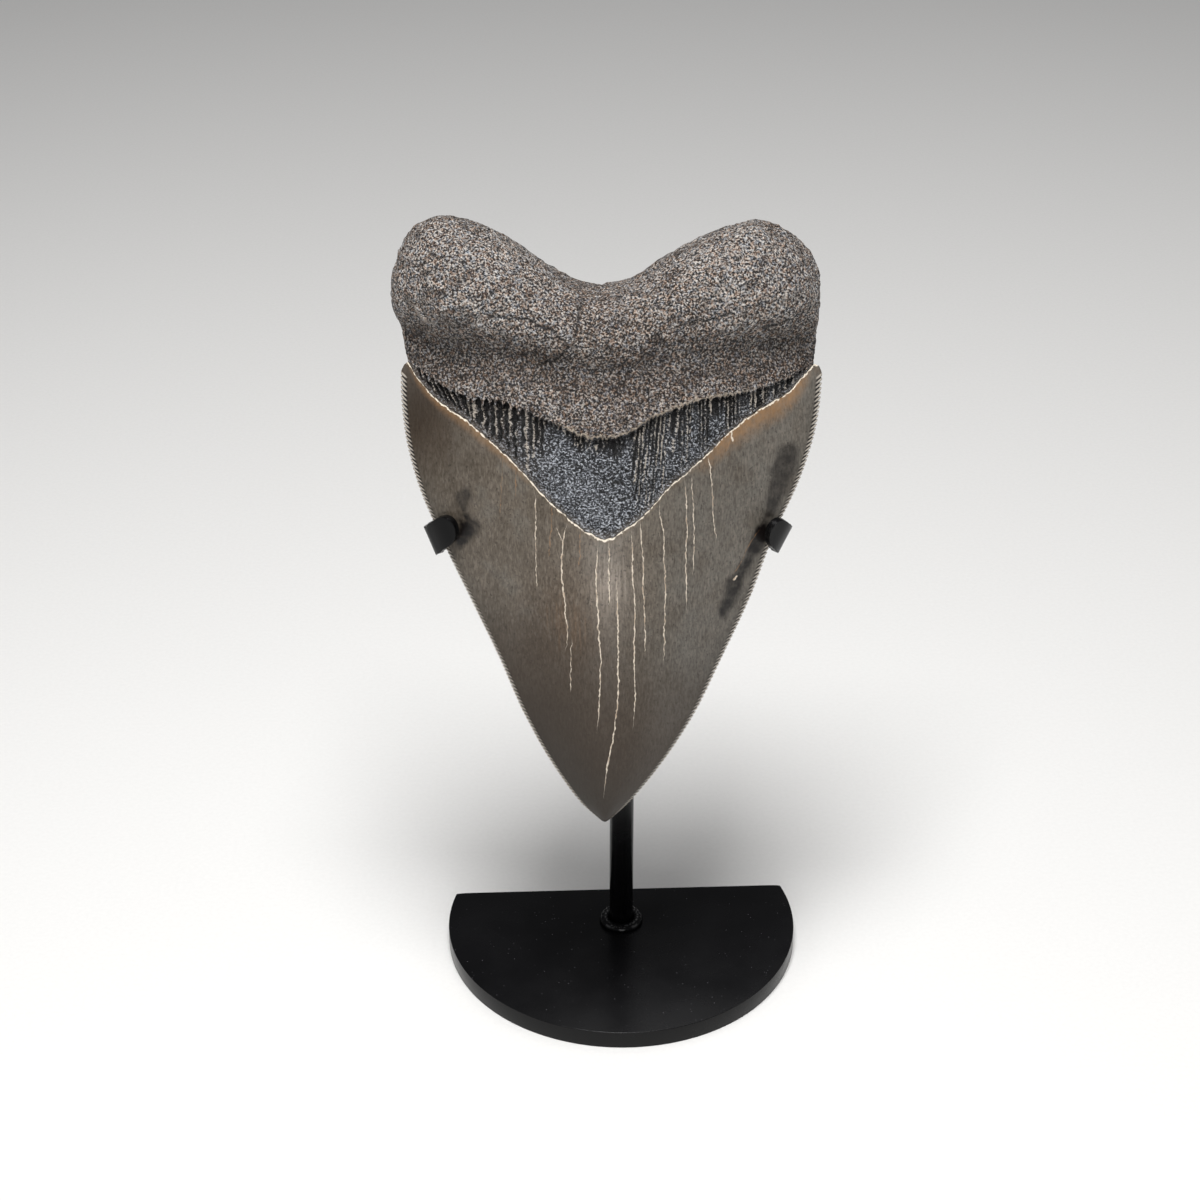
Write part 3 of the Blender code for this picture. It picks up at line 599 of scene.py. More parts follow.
def ragged(places, u_places):
    """Moves the places near the two lines up or down with them. The root's rim hangs in drips."""
    calm = smoothstep((1 - np.abs(u_places)) / 0.1)
    x = places[..., 0]
    rim_shift = ENAMEL_LINE_RAGGED * (waver(x, 1.6, 3.1) + 0.8 * waver(x, 0.6, 8.4)) * calm
    root_shift = ROOT_LINE_RAGGED * (waver(x, 2.6, 1.7) + 0.7 * waver(x, 0.9, 5.2)) * calm
    drips = ridge_wave(x) * np.maximum(0.0, 0.6 + 1.5 * waver(x, 1.9, 12.5))
    hanging = DRIP_LENGTH + (LEFT_DRIP_LENGTH - DRIP_LENGTH) * rise(x, -11.0, -16.0)
    root_shift -= hanging * drips * calm
    near_rim = np.exp(-(above(ENAMEL_LINE, places) / 0.8) ** 2)
    near_root = np.exp(-(above(ROOT_LINE, places) / 1.9) ** 2)
    places[..., 1] += rim_shift * near_rim + root_shift * near_root


# The band is only a narrow seam at the back.
BACK_BAND = 0.4


def mesh_rows(places, depths, side):
    """The places of a patch on one skin of the tooth, in the tooth's own millimetres."""
    bow = -EDGE_BOW * np.sin(math.pi * np.clip(places[..., 1] / CROWN_LENGTH, 0.0, 1.0))
    return np.stack([places[..., 0], bow + side * depths, places[..., 1]], axis=-1)


heights = {}
for part_name, places, u_places in (("crown", crown, crown_u), ("upper", upper, upper_u)):
    heights[part_name] = [above(line, places) for line in (ENAMEL_RIM, ROOT_LINE, BACK_ENAMEL_LINE)]
    ragged(places, u_places)

points, marks = [], []


def lay(part_name, depths, side, rows, cols):
    """Adds some of a patch's points on one skin, and what each one says of itself."""
    first = sum(len(chunk) for chunk in points)
    grid = np.ix_(rows, cols)
    spots = mesh_rows(crown if part_name == "crown" else upper, depths, side)[grid]
    rim_height, root_height, back_height = (height[grid] for height in heights[part_name])
    front = np.full(rim_height.shape, 1.0 if side < 0 else 0.0)
    enamel_height = rim_height if side < 0 else back_height
    bone_height = root_height if side < 0 else back_height - BACK_BAND
    bead, notch = (values[grid] if part_name == "crown" else np.zeros(front.shape)
                   for values in (saw_highlights, saw_notch_shades))
    points.append(spots.reshape(-1, 3))
    marks.append(np.stack([enamel_height, bone_height, front, bead, notch], axis=-1).reshape(-1, 5))
    return first + np.arange(spots.shape[0] * spots.shape[1]).reshape(spots.shape[:2])


rows_fine = np.arange(len(fine_rises))
rows_coarse = rows_fine[::ROWS_PER_TOOTH]
cols_edge = np.array([0, columns - 1])
cols_strip = np.concatenate([np.arange(1, strip), columns - 1 - np.arange(1, strip)])
cols_middle = np.arange(strip, columns - strip)
rows_up = np.arange(rows_above)
cols_fine = np.arange(len(fine_u))
cols_fourth = cols_fine[::FINER]

crown_ids = {side: np.full((len(rows_fine), columns), -1) for side in (-1, 1)}
upper_ids = {side: np.full((rows_above, len(cols_fine)), -1) for side in (-1, 1)}
# The outline's points lie in the middle plane and belong to both skins.
edge_ids = lay("crown", crown_front * 0, -1, rows_fine, cols_edge)
tip_ids = lay("crown", crown_front * 0, -1, rows_fine[:1], np.arange(1, columns - 1))
side_ids = lay("upper", upper_front * 0, -1, rows_up, cols_fine[[0, -1]])
top_ids = lay("upper", upper_front * 0, -1, rows_up[-1:], cols_fine[1:-1])
for side, crown_depth, upper_depth, upper_cols in ((-1, crown_front, upper_front, cols_fine),
                                                   (1, crown_back, upper_back, cols_fourth)):
    for ids, part_name, depths, rows, cols in (
            (crown_ids[side], "crown", crown_depth, rows_fine[1:], cols_strip),
            (crown_ids[side], "crown", crown_depth, rows_coarse[1:], cols_middle),
            (upper_ids[side], "upper", upper_depth, rows_up[:-1], upper_cols[1:-1])):
        ids[np.ix_(rows, cols)] = lay(part_name, depths, side, rows, cols)
    crown_ids[side][:, cols_edge] = edge_ids
    crown_ids[side][0, 1:-1] = tip_ids[0]
    upper_ids[side][:, [0, -1]] = side_ids
    upper_ids[side][-1, 1:-1] = top_ids[0]

faces = []


def sew(lower, higher, flip):
    """Faces between two lines of points, one of which may have a whole number of times more."""
    lower, higher = lower.tolist(), higher.tolist()
    count = min(len(lower), len(higher)) - 1
    low_step, high_step = (len(lower) - 1) // count, (len(higher) - 1) // count
    for place in range(count):
        ring = lower[place * low_step:(place + 1) * low_step + 1]
        ring += higher[place * high_step:(place + 1) * high_step + 1][::-1]
        faces.append(ring[::-1] if flip else ring)


for side in (-1, 1):
    ids = crown_ids[side]
    lines = [ids[:, c] if (ids[1, c] >= 0) else ids[::ROWS_PER_TOOTH, c] for c in range(columns)]
    for left_line, right_line in zip(lines[:-1], lines[1:]):
        sew(left_line, right_line, side == -1)
    rows = [ids[-1]] + [row[row >= 0] for row in upper_ids[side]]
    for low_row, high_row in zip(rows[:-1], rows[1:]):
        sew(low_row, high_row, side == 1)

points = np.concatenate(points)
above_enamel, above_root, on_front, saw_highlight, saw_notch_shade = np.concatenate(marks).T.copy()

# The mesh itself. The long faces between lines of different fineness are cut into triangles.
tooth_mesh = bpy.data.meshes.new("fossil_tooth")
tooth_mesh.from_pydata(points.tolist(), [], faces)
tooth = bpy.data.objects.new("fossil_tooth", tooth_mesh)
bpy.context.scene.collection.objects.link(tooth)
bpy.ops.object.select_all(action="DESELECT")
tooth.select_set(True)
bpy.context.view_layer.objects.active = tooth
bpy.ops.object.mode_set(mode="EDIT")
bpy.ops.mesh.select_all(action="SELECT")
bpy.ops.mesh.quads_convert_to_tris(quad_method="SHORTEST_DIAGONAL", ngon_method="BEAUTY")
bpy.ops.object.mode_set(mode="OBJECT")
turn_outwards()

# Relief, in millimetres along the skin's normal. The root is lumpy and grainy, with a few cracks.
# The band carries upright ridges that hang from the root's rim, and is crumpled between them.
ROOT_CRACKS = [[(-24.5, 120.4), (-16.2, 119.9), (-9.9, 116.8), (-7.1, 113.6), (-9.9, 110.4), (-13.9, 109.6)],
               [(16.7, 117.8), (22.9, 118.7), (29.2, 120.0)], [(36.8, 116.3), (41.2, 117.5), (45.7, 119.0)],
               [(-3.8, 124.1), (-5.0, 119.5), (-5.9, 114.3)]]
ROOT_LEDGES = [[(-42.3, 123.2), (-41.2, 122.1), (-38.6, 119.8), (-36.6, 118.5), (-35.3, 117.5)],
               [(-31.0, 125.3), (-29.5, 123.7), (-27.8, 122.4), (-25.6, 121.7), (-22.1, 120.4)],
               [(-7.1, 114.1), (-5.3, 112.9), (-2.4, 109.7), (-0.3, 107.2), (2.4, 105.8)]]
MARK_WIDTH = 0.30
# How far the band's ridges and slots hang down from the root's rim: places across the tooth, and lengths.
COMB = [(-44.0, 4.0), (-40.0, 6.0), (-30.0, 12.0), (-23.0, 18.0), (-16.0, 22.0), (-14.0, 12.0), (-12.0, 0.8),
        (-8.5, 0.8), (-6.0, 3.5), (-1.0, 5.0), (4.0, 5.5), (6.5, 12.0), (8.5, 24.0), (13.0, 24.0),
        (17.0, 15.0), (23.0, 13.0), (30.0, 10.0), (37.0, 7.0), (44.0, 4.0)]
# How deep each kind of relief is. The root's grains run from lumps of 9 mm to grit of 0.6 mm across,
# and the band's from 3.2 mm to the same grit.
ROOT_GRAINS = (0.45, 0.28, 0.24, 0.20, 0.17)
BAND_GRAINS = (0.35, 0.22, 0.20, 0.16)
CREASE_DEPTH, CRACK_DEPTH, LEDGE_HEIGHT, RIM_HEIGHT = 0.20, 0.32, 0.22, 0.30
CRINKLE_HEIGHT, RIDGE_HEIGHT, SLOT_DEPTH, FURROW_DEPTH, UNDERCUT_DEPTH = 0.36, 0.30, 0.34, 0.22, 0.20
SMOOTH_BAND_GRAIN = 0.06


def grains(spots, size, seed):
    """Smooth noise at each place, its lumps about size millimetres across."""
    return np.array([noise.noise(Vector(spot)) for spot in (spots / size + seed).tolist()])


def folded(spots, size, seed):
    """Noise folded at its middle: creases, 1 along each and lower between them."""
    return 1.0 - 2.0 * np.abs(grains(spots, size, seed))


def near_marks(lines):
    """1 on the nearest of some lines drawn on the root, and less beside it."""
    return np.max([np.exp(-(distance_to_line(wandering, np.array(line)) / MARK_WIDTH) ** 2)
                   for line in lines], axis=0)


def spot(across, up, width, height):
    """A soft round patch of the tooth: 1 at its middle, less around it."""
    return np.exp(-((x - across) / width) ** 2 - ((z - up) / height) ** 2)


normals = np.empty(len(points) * 3)
tooth_mesh.vertices.foreach_get("normal", normals)
normals = normals.reshape(-1, 3)
x, z = points[:, 0], points[:, 2]
flat_places = points[:, [0, 2]]
bone = rise(above_root, -0.1, 0.5)
in_band = rise(above_enamel, 0.0, 0.5) * rise(above_root, 0.2, -0.2) * on_front
lump_places = np.stack([x / LUMP_SIZE, 2 * (0.5 - on_front), z / LUMP_SIZE], axis=-1)
lumpy = np.array([noise.noise(Vector(spot)) for spot in lump_places.tolist()])
grain_wide, grain_coarse = grains(points, 3.2, 17.3), grains(points, 1.7, 11.3)
grain_middle, grain_fine = grains(points, 1.0, 4.9), grains(points, 0.6, 7.7)
wandering = flat_places + 0.5 * np.stack([grain_coarse, grain_middle], axis=-1)
cracks = near_marks(ROOT_CRACKS) * (bone * on_front)
# Raised ledges on the root; the pale line along each in the colour is a painted highlight.
ledges = near_marks(ROOT_LEDGES) * (bone * on_front * np.clip(0.75 + 1.2 * grain_wide, 0.2, 1.0))
hang = np.maximum(-above_root, 0.0)
comb_length = np.interp(x, *zip(*COMB)) * (0.85 + 0.9 * waver(x, 1.3, 9.4))
comb = np.exp(-(hang / np.maximum(comb_length, 0.5)) ** 4) * in_band
comb *= smoothstep((above_enamel - 0.3) / (1.0 + 1.4 * rise(x, -8.0, -14.0)))
sway = 0.55 * grains(points * (1.0, 1.0, 0.5), 1.4, 31.0) + 0.40 * grain_middle
sway *= rise(hang, -0.6, 1.4)
sway *= 1.0 - 0.6 * rise(x, 3.0, 7.0)
sway += 0.12 * hang * rise(x, 2.0, 5.0) * rise(x, 20.0, 14.0)
sway -= 0.75 * hang * rise(x, -27.0, -35.0)
wave = ridge_wave(x, sway)
strength = np.clip(0.85 + 1.1 * waver(x, 1.5, 6.6) + 0.4 * grain_coarse, 0.1, 1.3)
ridges = np.clip(wave ** 2.0 * comb * strength, 0.0, 1.2)
# The slots between the ridges: cut into the relief, and painted dark as shade.
slots = smoothstep((1 - wave - 0.14 - 0.50 * smoothstep(hang / 13.0)) / 0.45) * comb
slots *= np.clip(0.70 + 1.1 * waver(x, 2.2, 14.1) + 0.5 * rise(x, -9.0, -14.0), 0.15, 1.2)
crumple = in_band * (1 - comb)
humps = grains(points * (1.0, 1.0, 1.3), 9.0, 71.3)
root_grain = sum(depth * grain for depth, grain in zip(
    ROOT_GRAINS, (humps, grain_wide, grain_coarse, grain_middle, grain_fine)))
creases = rise(folded(points * (1.0, 1.0, 1.6), 5.5, 51.7), 0.84, 1.0)
relief = bone * (ROOT_LUMPS * lumpy + root_grain - CREASE_DEPTH * creases)
relief += LEDGE_HEIGHT * ledges - CRACK_DEPTH * cracks
rim_crest = rise(x, -11.0, -7.0) * rise(x, 37.0, 30.0) * on_front
relief += RIM_HEIGHT * bone * rim_crest * np.exp(-((above_root - 0.5) / 0.6) ** 2)
crinkle = folded(points * (0.6, 1.0, 1.2), 1.9, 61.0)
furrow = rise(folded(points * (0.7, 1.0, 1.1), 4.2, 37.0), 0.86, 1.0)
furrow *= crumple * np.clip(0.6 + 1.6 * grain_wide, 0.0, 1.0)
band_grain = sum(depth * grain for depth, grain in zip(
    BAND_GRAINS, (grain_wide, grain_coarse, grain_middle, grain_fine)))
relief += crumple * (band_grain + CRINKLE_HEIGHT * crinkle) + in_band * SMOOTH_BAND_GRAIN * grain_fine
relief += RIDGE_HEIGHT * ridges - SLOT_DEPTH * slots - FURROW_DEPTH * furrow
relief -= UNDERCUT_DEPTH * in_band * np.exp(-(hang / 0.9) ** 2) * (1 - ridges)
outer = np.zeros(len(points), dtype=bool)
outer[np.concatenate([ids.ravel() for ids in (edge_ids, tip_ids, side_ids, top_ids)])] = True
relief[outer] = np.minimum(relief[outer], 0.0) * (above_root[outer] > 0.5)
relief *= np.where(above_enamel < 0, 0.0, 1.0)
tooth_mesh.vertices.foreach_set("co", (points + normals * relief[:, None]).ravel())

# What each place of the skin says of itself to the finish: x is how far across the tooth it lies, and
# z how far up. The enamel is warm under its rim and at the sides, and grey on the right. It is darker
# towards the tip and at the left shoulder, partly its own tone and partly painted shade, and has a painted
# sheen in the middle. The root's hollow carries painted shade over its darker brown tone, and the root is
# darker and browner below the hollow and on the middle of its bulge.
left_x, right_x = blade_sides(z)
from_edge = np.minimum(x - left_x, right_x - x)
below_rim = np.maximum(-above_enamel, 0.0)
warm = np.exp(-(below_rim / (2.2 + 2.2 * rise(x, 15.0, 25.0) + 0.8 * waver(x, 5.0, 3.3))) ** 2)
warm *= 0.25 + 0.75 * np.maximum(rise(x, 20.0, 28.0) * rise(x, 49.0, 45.0),
                                 0.65 * rise(x, -14.0, -22.0) * rise(x, -44.0, -40.0))
brown = np.maximum(spot(-8.0, 50.0, 11.0, 15.0), 0.7 * spot(1.0, 22.0, 7.0, 13.0))
grey = np.maximum(rise(x, 6.0, 20.0), spot(4.0, 4.5, 3.0, 3.0))
grey = np.maximum(grey, 0.9 * spot(-43.5, 102.0, 4.0, 6.0))
# Darker towards the tip, on the lower left and at the left shoulder: partly the enamel's own tone, partly
# painted shade.
low = np.interp(z, [4.0, 10.0, 30.0, 37.0, 58.0], [0.80, 0.74, 0.52, 0.40, 0.0])
low += 0.16 * np.clip(-x / 15.0, -1.0, 1.0) * rise(z, 62.0, 42.0)
dark_tone_and_shade = np.maximum(low, 0.66 * spot(-41.0, 98.0, 11.0, 15.0))
hollow_line = along([(-39.1, 112.1), (-16.8, 110.0), (4.2, 106.9), (14.2, 108.3), (45.7, 110.9)],
                    np.linspace(0.0, 1.0, 60))
above_hollow = z - np.interp(x, *hollow_line.T)
# Painted shade in the root's hollow under the bulge, over its darker brown tone.
hollow_shade_and_tone = np.exp(-(above_hollow / (5.0 + 2.5 * rise(x, -18.0, -32.0))) ** 2) * bone
# The root is darker and browner below its hollow and on the middle of its bulge.
root_darkening = rise(above_hollow, 1.0, -4.0) * (0.65 + 0.35 * rise(x, -12.0, -6.0))
root_darkening = np.maximum(root_darkening, 0.90 * spot(3.0, 119.0, 16.0, 8.0)) * bone
# A painted sheen: a broad lighter patch in the middle of the blade.
blade_sheen = spot(1.5, 59.0, 7.0, 12.0)
sheen = spot(-5.5 - 0.7 * (z - 81.0), 81.0, 6.5, 9.0)

# Stains in the enamel, each as corners (across, up the tooth) and how dark it is. The last one,
# beside the left arm's lip, is partly that lip's shadow, painted in.
STAINS_AND_SHADOWS = [([(43.8, 89.3), (40.7, 88.9), (40.0, 86.6), (38.8, 83.2), (38.4, 79.0), (38.0, 76.4), (37.5, 74.1),
            (37.3, 72.2), (39.3, 72.0), (40.2, 73.8), (42.1, 77.2), (43.5, 80.7), (44.9, 83.1), (45.5, 87.8)],
           0.64),
          ([(37.3, 72.0), (35.4, 69.5), (34.3, 67.2), (33.5, 64.7), (31.7, 61.5), (30.3, 59.3), (28.7, 58.3),
            (28.3, 55.6), (27.5, 52.9), (26.8, 51.0), (26.8, 49.2), (28.0, 48.8), (29.4, 50.6), (30.8, 52.9),
            (31.8, 55.2), (32.3, 57.8), (33.9, 60.3), (35.1, 62.9), (37.6, 65.3), (39.2, 68.6)], 0.80),
          ([(-33.4, 79.4), (-31.8, 80.7), (-29.3, 81.1), (-29.8, 78.2), (-30.8, 75.4), (-32.2, 74.8),
            (-32.8, 76.4)], 0.62),
          ([(-31.8, 75.1), (-30.3, 75.0), (-29.3, 73.6), (-28.0, 73.4), (-27.4, 71.6), (-28.8, 71.7),
            (-29.9, 73.0), (-31.5, 73.5)], 0.85),
          ([(-32.6, 73.4), (-29.5, 73.1), (-28.1, 71.7), (-28.4, 70.3), (-29.6, 69.2), (-31.0, 67.5),
            (-32.7, 66.0), (-33.6, 69.0)], 0.88)]
FAR_OUTSIDE = -4.0
stain_and_shadow_inset, stain_and_shadow_dark = np.full(len(points), FAR_OUTSIDE), np.zeros(len(points))
for corners, dark in STAINS_AND_SHADOWS:
    ring = np.array(corners + corners[:1])
    inside = np.zeros(len(points), dtype=bool)
    for (x0, z0), (x1, z1) in zip(ring[:-1], ring[1:]):
        steep = z1 - z0 if z1 != z0 else 1.0
        inside ^= ((z0 > z) != (z1 > z)) & (x < x0 + (x1 - x0) * (z - z0) / steep)
    inset = distance_to_line(flat_places, ring) * np.where(inside, 1.0, -1.0)
    stain_and_shadow_dark = np.where(inset > stain_and_shadow_inset, dark, stain_and_shadow_dark)
    stain_and_shadow_inset = np.maximum(inset, stain_and_shadow_inset)
# Painted shadow of the right arm's lip, added to the stain beside it.
stain_and_shadow_dark += 0.20 * spot(37.2, 68.5, 3.0, 3.6)

facts = {"above_enamel": above_enamel, "above_root": above_root, "display_face": on_front,
         "saw_bead_highlight": saw_highlight, "saw_notch_shade": saw_notch_shade, "ridge": ridges, "slot_shade": slots, "sheen": sheen,
         "ledge_highlight": ledges, "furrow": furrow, "hollow_shade_and_tone": hollow_shade_and_tone, "root_darkening": root_darkening,
         "rim_crest": 0.25 + 0.75 * rim_crest, "root_crack": cracks, "from_edge": from_edge,
         "warm": warm * on_front, "blade_sheen": blade_sheen * on_front, "brown": brown * on_front,
         "dark_tone_and_shade": dark_tone_and_shade * on_front, "stain_and_shadow_inset": stain_and_shadow_inset, "stain_and_shadow_dark": stain_and_shadow_dark * on_front, "grey": grey}
for fact_name, values in facts.items():
    layer = tooth_mesh.attributes.new(fact_name, "FLOAT", "POINT")
    layer.data.foreach_set("value", np.ascontiguousarray(values, dtype=np.float32))

# Long marks in the enamel, each as places down its length (across, up the tooth) and half a width:
# cracks filled with cream mineral, and finer ones filled with brown.
CREAM_CRACKS = [([(-15.1, 81.5), (-15.1, 69.4), (-15.1, 57.0)], 0.14),
                ([(-7.9, 74.3), (-9.0, 70.1), (-8.8, 52.8), (-8.4, 49.2), (-8.9, 42.9)], 0.20),
                ([(-10.6, 72.8), (-9.3, 69.4)], 0.11), ([(-7.3, 46.6), (-7.6, 39.8), (-7.7, 32.9)], 0.12),
                ([(-1.4, 70.4), (-1.6, 52.9), (-1.0, 43.8), (-1.3, 31.7), (-1.8, 22.9)], 0.19),
                ([(1.3, 69.9), (1.2, 61.7), (1.1, 53.7)], 0.16),
                ([(2.8, 61.2), (3.1, 50.7), (3.1, 38.7), (3.0, 30.8), (2.3, 25.2), (1.6, 20.7), (0.4, 14.1),
                  (-0.5, 6.0)], 0.20),
                ([(6.2, 73.4), (6.6, 63.1), (7.0, 49.1), (6.7, 38.5), (7.0, 32.1), (6.3, 23.4)], 0.17),
                ([(8.3, 74.7), (8.7, 66.6), (9.1, 56.2), (9.3, 46.4), (9.1, 41.3)], 0.17),
                ([(12.6, 78.7), (13.5, 70.9), (14.0, 59.1), (13.7, 41.5), (13.7, 38.6)], 0.16),
                ([(18.4, 83.8), (19.1, 74.0), (18.8, 64.4), (19.1, 51.0)], 0.16),
                ([(20.0, 84.8), (20.7, 73.9), (20.7, 64.9), (20.3, 59.3)], 0.13),
                ([(23.7, 88.6), (24.8, 82.6), (25.1, 75.1), (25.9, 67.7)], 0.15),
                ([(29.3, 93.4), (29.6, 90.8)], 0.22), ([(30.9, 59.1), (30.3, 57.9)], 0.30)]
BROWN_CRACKS = [([(-11.1, 78.3), (-11.7, 72.1), (-12.2, 65.3)], 0.15),
                ([(-5.0, 72.2), (-5.3, 67.6), (-5.5, 63.3)], 0.15),
                ([(-19.3, 86.2), (-19.3, 82.7), (-19.4, 79.2)], 0.14),
                ([(-22.1, 88.9), (-22.7, 80.9), (-23.3, 73.2)], 0.10),
                ([(36.4, 69.9), (34.2, 66.5), (31.7, 61.9), (29.4, 58.9)], 0.14),
                ([(29.3, 92.4), (28.8, 90.5), (28.1, 88.6)], 0.2), ([(43.0, 100.6), (43.8, 96.7)], 0.12)]

# Fossil enamel is apatite: hard and smooth, so it keeps a soft gloss. The bone of the root is
# sandy and matt. The band between them is dark and breaks the light up in small glints, which are
# also painted into its colour as pale specks.
fossil, tree, shader = new_material("mineralised shark tooth")
whole = put(tree, "Mapping", {"Vector": put(tree, "TexCoord", give=3), "Location": TIP_PLACE,
                              "Rotation": (-LEAN, 0.0, 0.0), "Scale": (MM, MM, MM)}, vector_type="TEXTURE")
axes = put(tree, "SeparateXYZ", {"Vector": whole}, None)
# All that can steer a colour, by name: the facts of each place, the patterns, and what is made from them.
guide = {name: put(tree, "Attribute", give=2, attribute_name=name) for name in facts}
guide["across"] = axes.outputs[0]

# Patterns: the size across, into and up the tooth in millimetres, how many finer layers, how rough.
PATTERNS = {"clouds": ((7.0, 7.0, 12.0), 3.0, 0.55), "fibres": ((0.42, 1.2, 1.5), 2.0, 0.6),
            "hairs": ((0.6, 3.0, 30.0), 2.0, 0.5), "dots": ((0.55, 0.55, 0.8), 1.0, 0.5),
            "grit": ((0.46, 0.46, 0.46), 2.0, 0.6), "tint": ((0.75, 0.75, 0.75), 1.0, 0.5),
            "hue": ((1.3, 1.3, 1.3), 4.0, 0.7), "blotch": ((8.0, 8.0, 8.0), 3.0, 0.6),
            "crumple": ((3.4, 3.4, 2.4), 4.0, 0.6), "beads": ((0.50, 0.50, 0.42), 2.0, 0.65),
            "sway": ((5.0, 5.0, 4.0), 3.0, 0.6), "jog": ((3.0, 3.0, 1.3), 2.0, 0.6),
            "patchy": ((1.2, 1.2, 3.0), 2.0, 0.5), "crumbs": ((0.8, 0.8, 0.8), 2.0, 0.5)}
for name, (size, detail, roughness) in PATTERNS.items():
    fitted = put(tree, "Mapping", {"Vector": whole, "Scale": tuple(1.0 / length for length in size)})
    guide[name] = put(tree, "TexNoise", {"Vector": fitted, "Scale": 1.0, "Detail": detail,
                                         "Roughness": roughness})


def work_out(steps):
    """Adds guides in turn, each worked out from numbers and guides by a Math or a Map Range node."""
    for name, setting, *values in steps:
        inputs = {place: guide.get(value, value) for place, value in enumerate(values)}
        if setting in ("LINEAR", "SMOOTHSTEP"):
            guide[name] = put(tree, "MapRange", inputs, interpolation_type=setting)
        else:
            guide[name] = put(tree, "Math", inputs, operation=setting)


# The long marks: a curve gives each one's middle at every height, and it tapers towards its ends.
# The noise in swayed moves them 0.8 mm to the left, so the curve stands that much further right.
CURVE_SPAN, SWAY_MEAN = 100.0, 0.80
work_out([("swayed", "MULTIPLY_ADD", "sway", 0.9, "across"), ("swayed", "MULTIPLY_ADD", "jog", 0.7, "swayed"),
          ("beaded", "LINEAR", "crumbs", 0.35, 0.65, 0.45, 1.30),
          ("on_enamel", "LESS_THAN", "above_enamel", 0.0),
          ("on_enamel", "MULTIPLY", "on_enamel", "display_face")])
for kind, lines, soft in (("cream_crack", CREAM_CRACKS, 0.08), ("brown_crack", BROWN_CRACKS, 0.12)):
    guide[kind] = 0.0
    for line, width in lines:
        top, foot = line[0][1], line[-1][1]
        guide["run"] = put(tree, "MapRange", {0: axes.outputs[2], 1: foot, 2: top}, clamp=False)
        curve = put(tree, "FloatCurve", {"Value": guide["run"]}, None)
        spots = curve.mapping.curves[0].points
        places = sorted(((up - foot) / (top - foot), (across + SWAY_MEAN) / CURVE_SPAN + 0.5)
                        for across, up in line)
        spots[0].location, spots[1].location = places[0], places[-1]
        for place in places[1:-1]:
            spots.new(*place)
        curve.mapping.update()
        guide["curve"] = curve.outputs[0]
        work_out([("centre", "MULTIPLY_ADD", "curve", CURVE_SPAN, -CURVE_SPAN / 2),
                  ("away", "SUBTRACT", "swayed", "centre"), ("away", "ABSOLUTE", "away"),
                  ("ends", "SUBTRACT", 1.0, "run"), ("ends", "MULTIPLY", "run", "ends"),
                  ("half", "LINEAR", "ends", 0.0, 0.12, 0.0, width), ("half", "MULTIPLY", "half", "beaded"),
                  ("inside", "SUBTRACT", "half", "away"), ("inside", "LINEAR", "inside", 0.0, soft),
                  (kind, "MAXIMUM", kind, "inside")])
    work_out([(kind, "MULTIPLY", kind, "on_enamel")])

# Where the rims are, which of the three tissues a place is in, and what breaks the patches up.
work_out([("root_edge", "MULTIPLY_ADD", "crumbs", 2.0, "above_root"),
          ("in_root", "LINEAR", "root_edge", 0.85, 1.15),
          ("in_enamel", "LINEAR", "above_enamel", 0.10, -0.10),
          ("brown_hairs", "MULTIPLY", "hairs", "brown"), ("sheen_hairs", "MULTIPLY", "hairs", "blade_sheen"),
          ("crest", "MULTIPLY_ADD", "ridge", 0.38, "beads"),
          # Painted shade under the root's overhanging rim, fading downwards.
          ("shade_under_rim", "LINEAR", "above_root", -0.5, -4.5),
          ("warm_patches", "LINEAR", "hue", 0.3, 0.6, 0.6, 1.1),
          ("warm_patches", "MULTIPLY", "warm_patches", "warm"),
          ("stain_and_shadow", "MULTIPLY_ADD", "patchy", 1.8, "stain_and_shadow_inset"), ("stain_and_shadow", "SMOOTHSTEP", "stain_and_shadow", 0.0, 1.8),
          ("stain_and_shadow_depth", "LINEAR", "crumple", 0.35, 0.62, 1.20, 0.82),
          ("stain_and_shadow", "MULTIPLY", "stain_and_shadow", "stain_and_shadow_dark"), ("stain_and_shadow", "MULTIPLY", "stain_and_shadow", "stain_and_shadow_depth"),
          ("cream_patches", "MULTIPLY", "patchy", "cream_crack"),
          # Painted shade in the root's hollow, mottled.
          ("mottled_hollow_shade", "MULTIPLY_ADD", "crumple", 1.1, "hollow_shade_and_tone"),
          ("enamel_rim", "ADD", "above_enamel", 0.20), ("enamel_rim", "ABSOLUTE", "enamel_rim"),
          ("enamel_rim", "MULTIPLY_ADD", "crumbs", 1.4, "enamel_rim"),
          # A painted highlight along the root's rim, where its edge catches the light.
          ("root_rim_highlight", "ADD", "root_edge", -1.35), ("root_rim_highlight", "ABSOLUTE", "root_rim_highlight"),
          ("root_rim_highlight", "LINEAR", "root_rim_highlight", 0.55, 0.15), ("root_rim_highlight", "MULTIPLY", "root_rim_highlight", "rim_crest"),
          ("root_rim_highlight", "MULTIPLY", "root_rim_highlight", "patchy")])

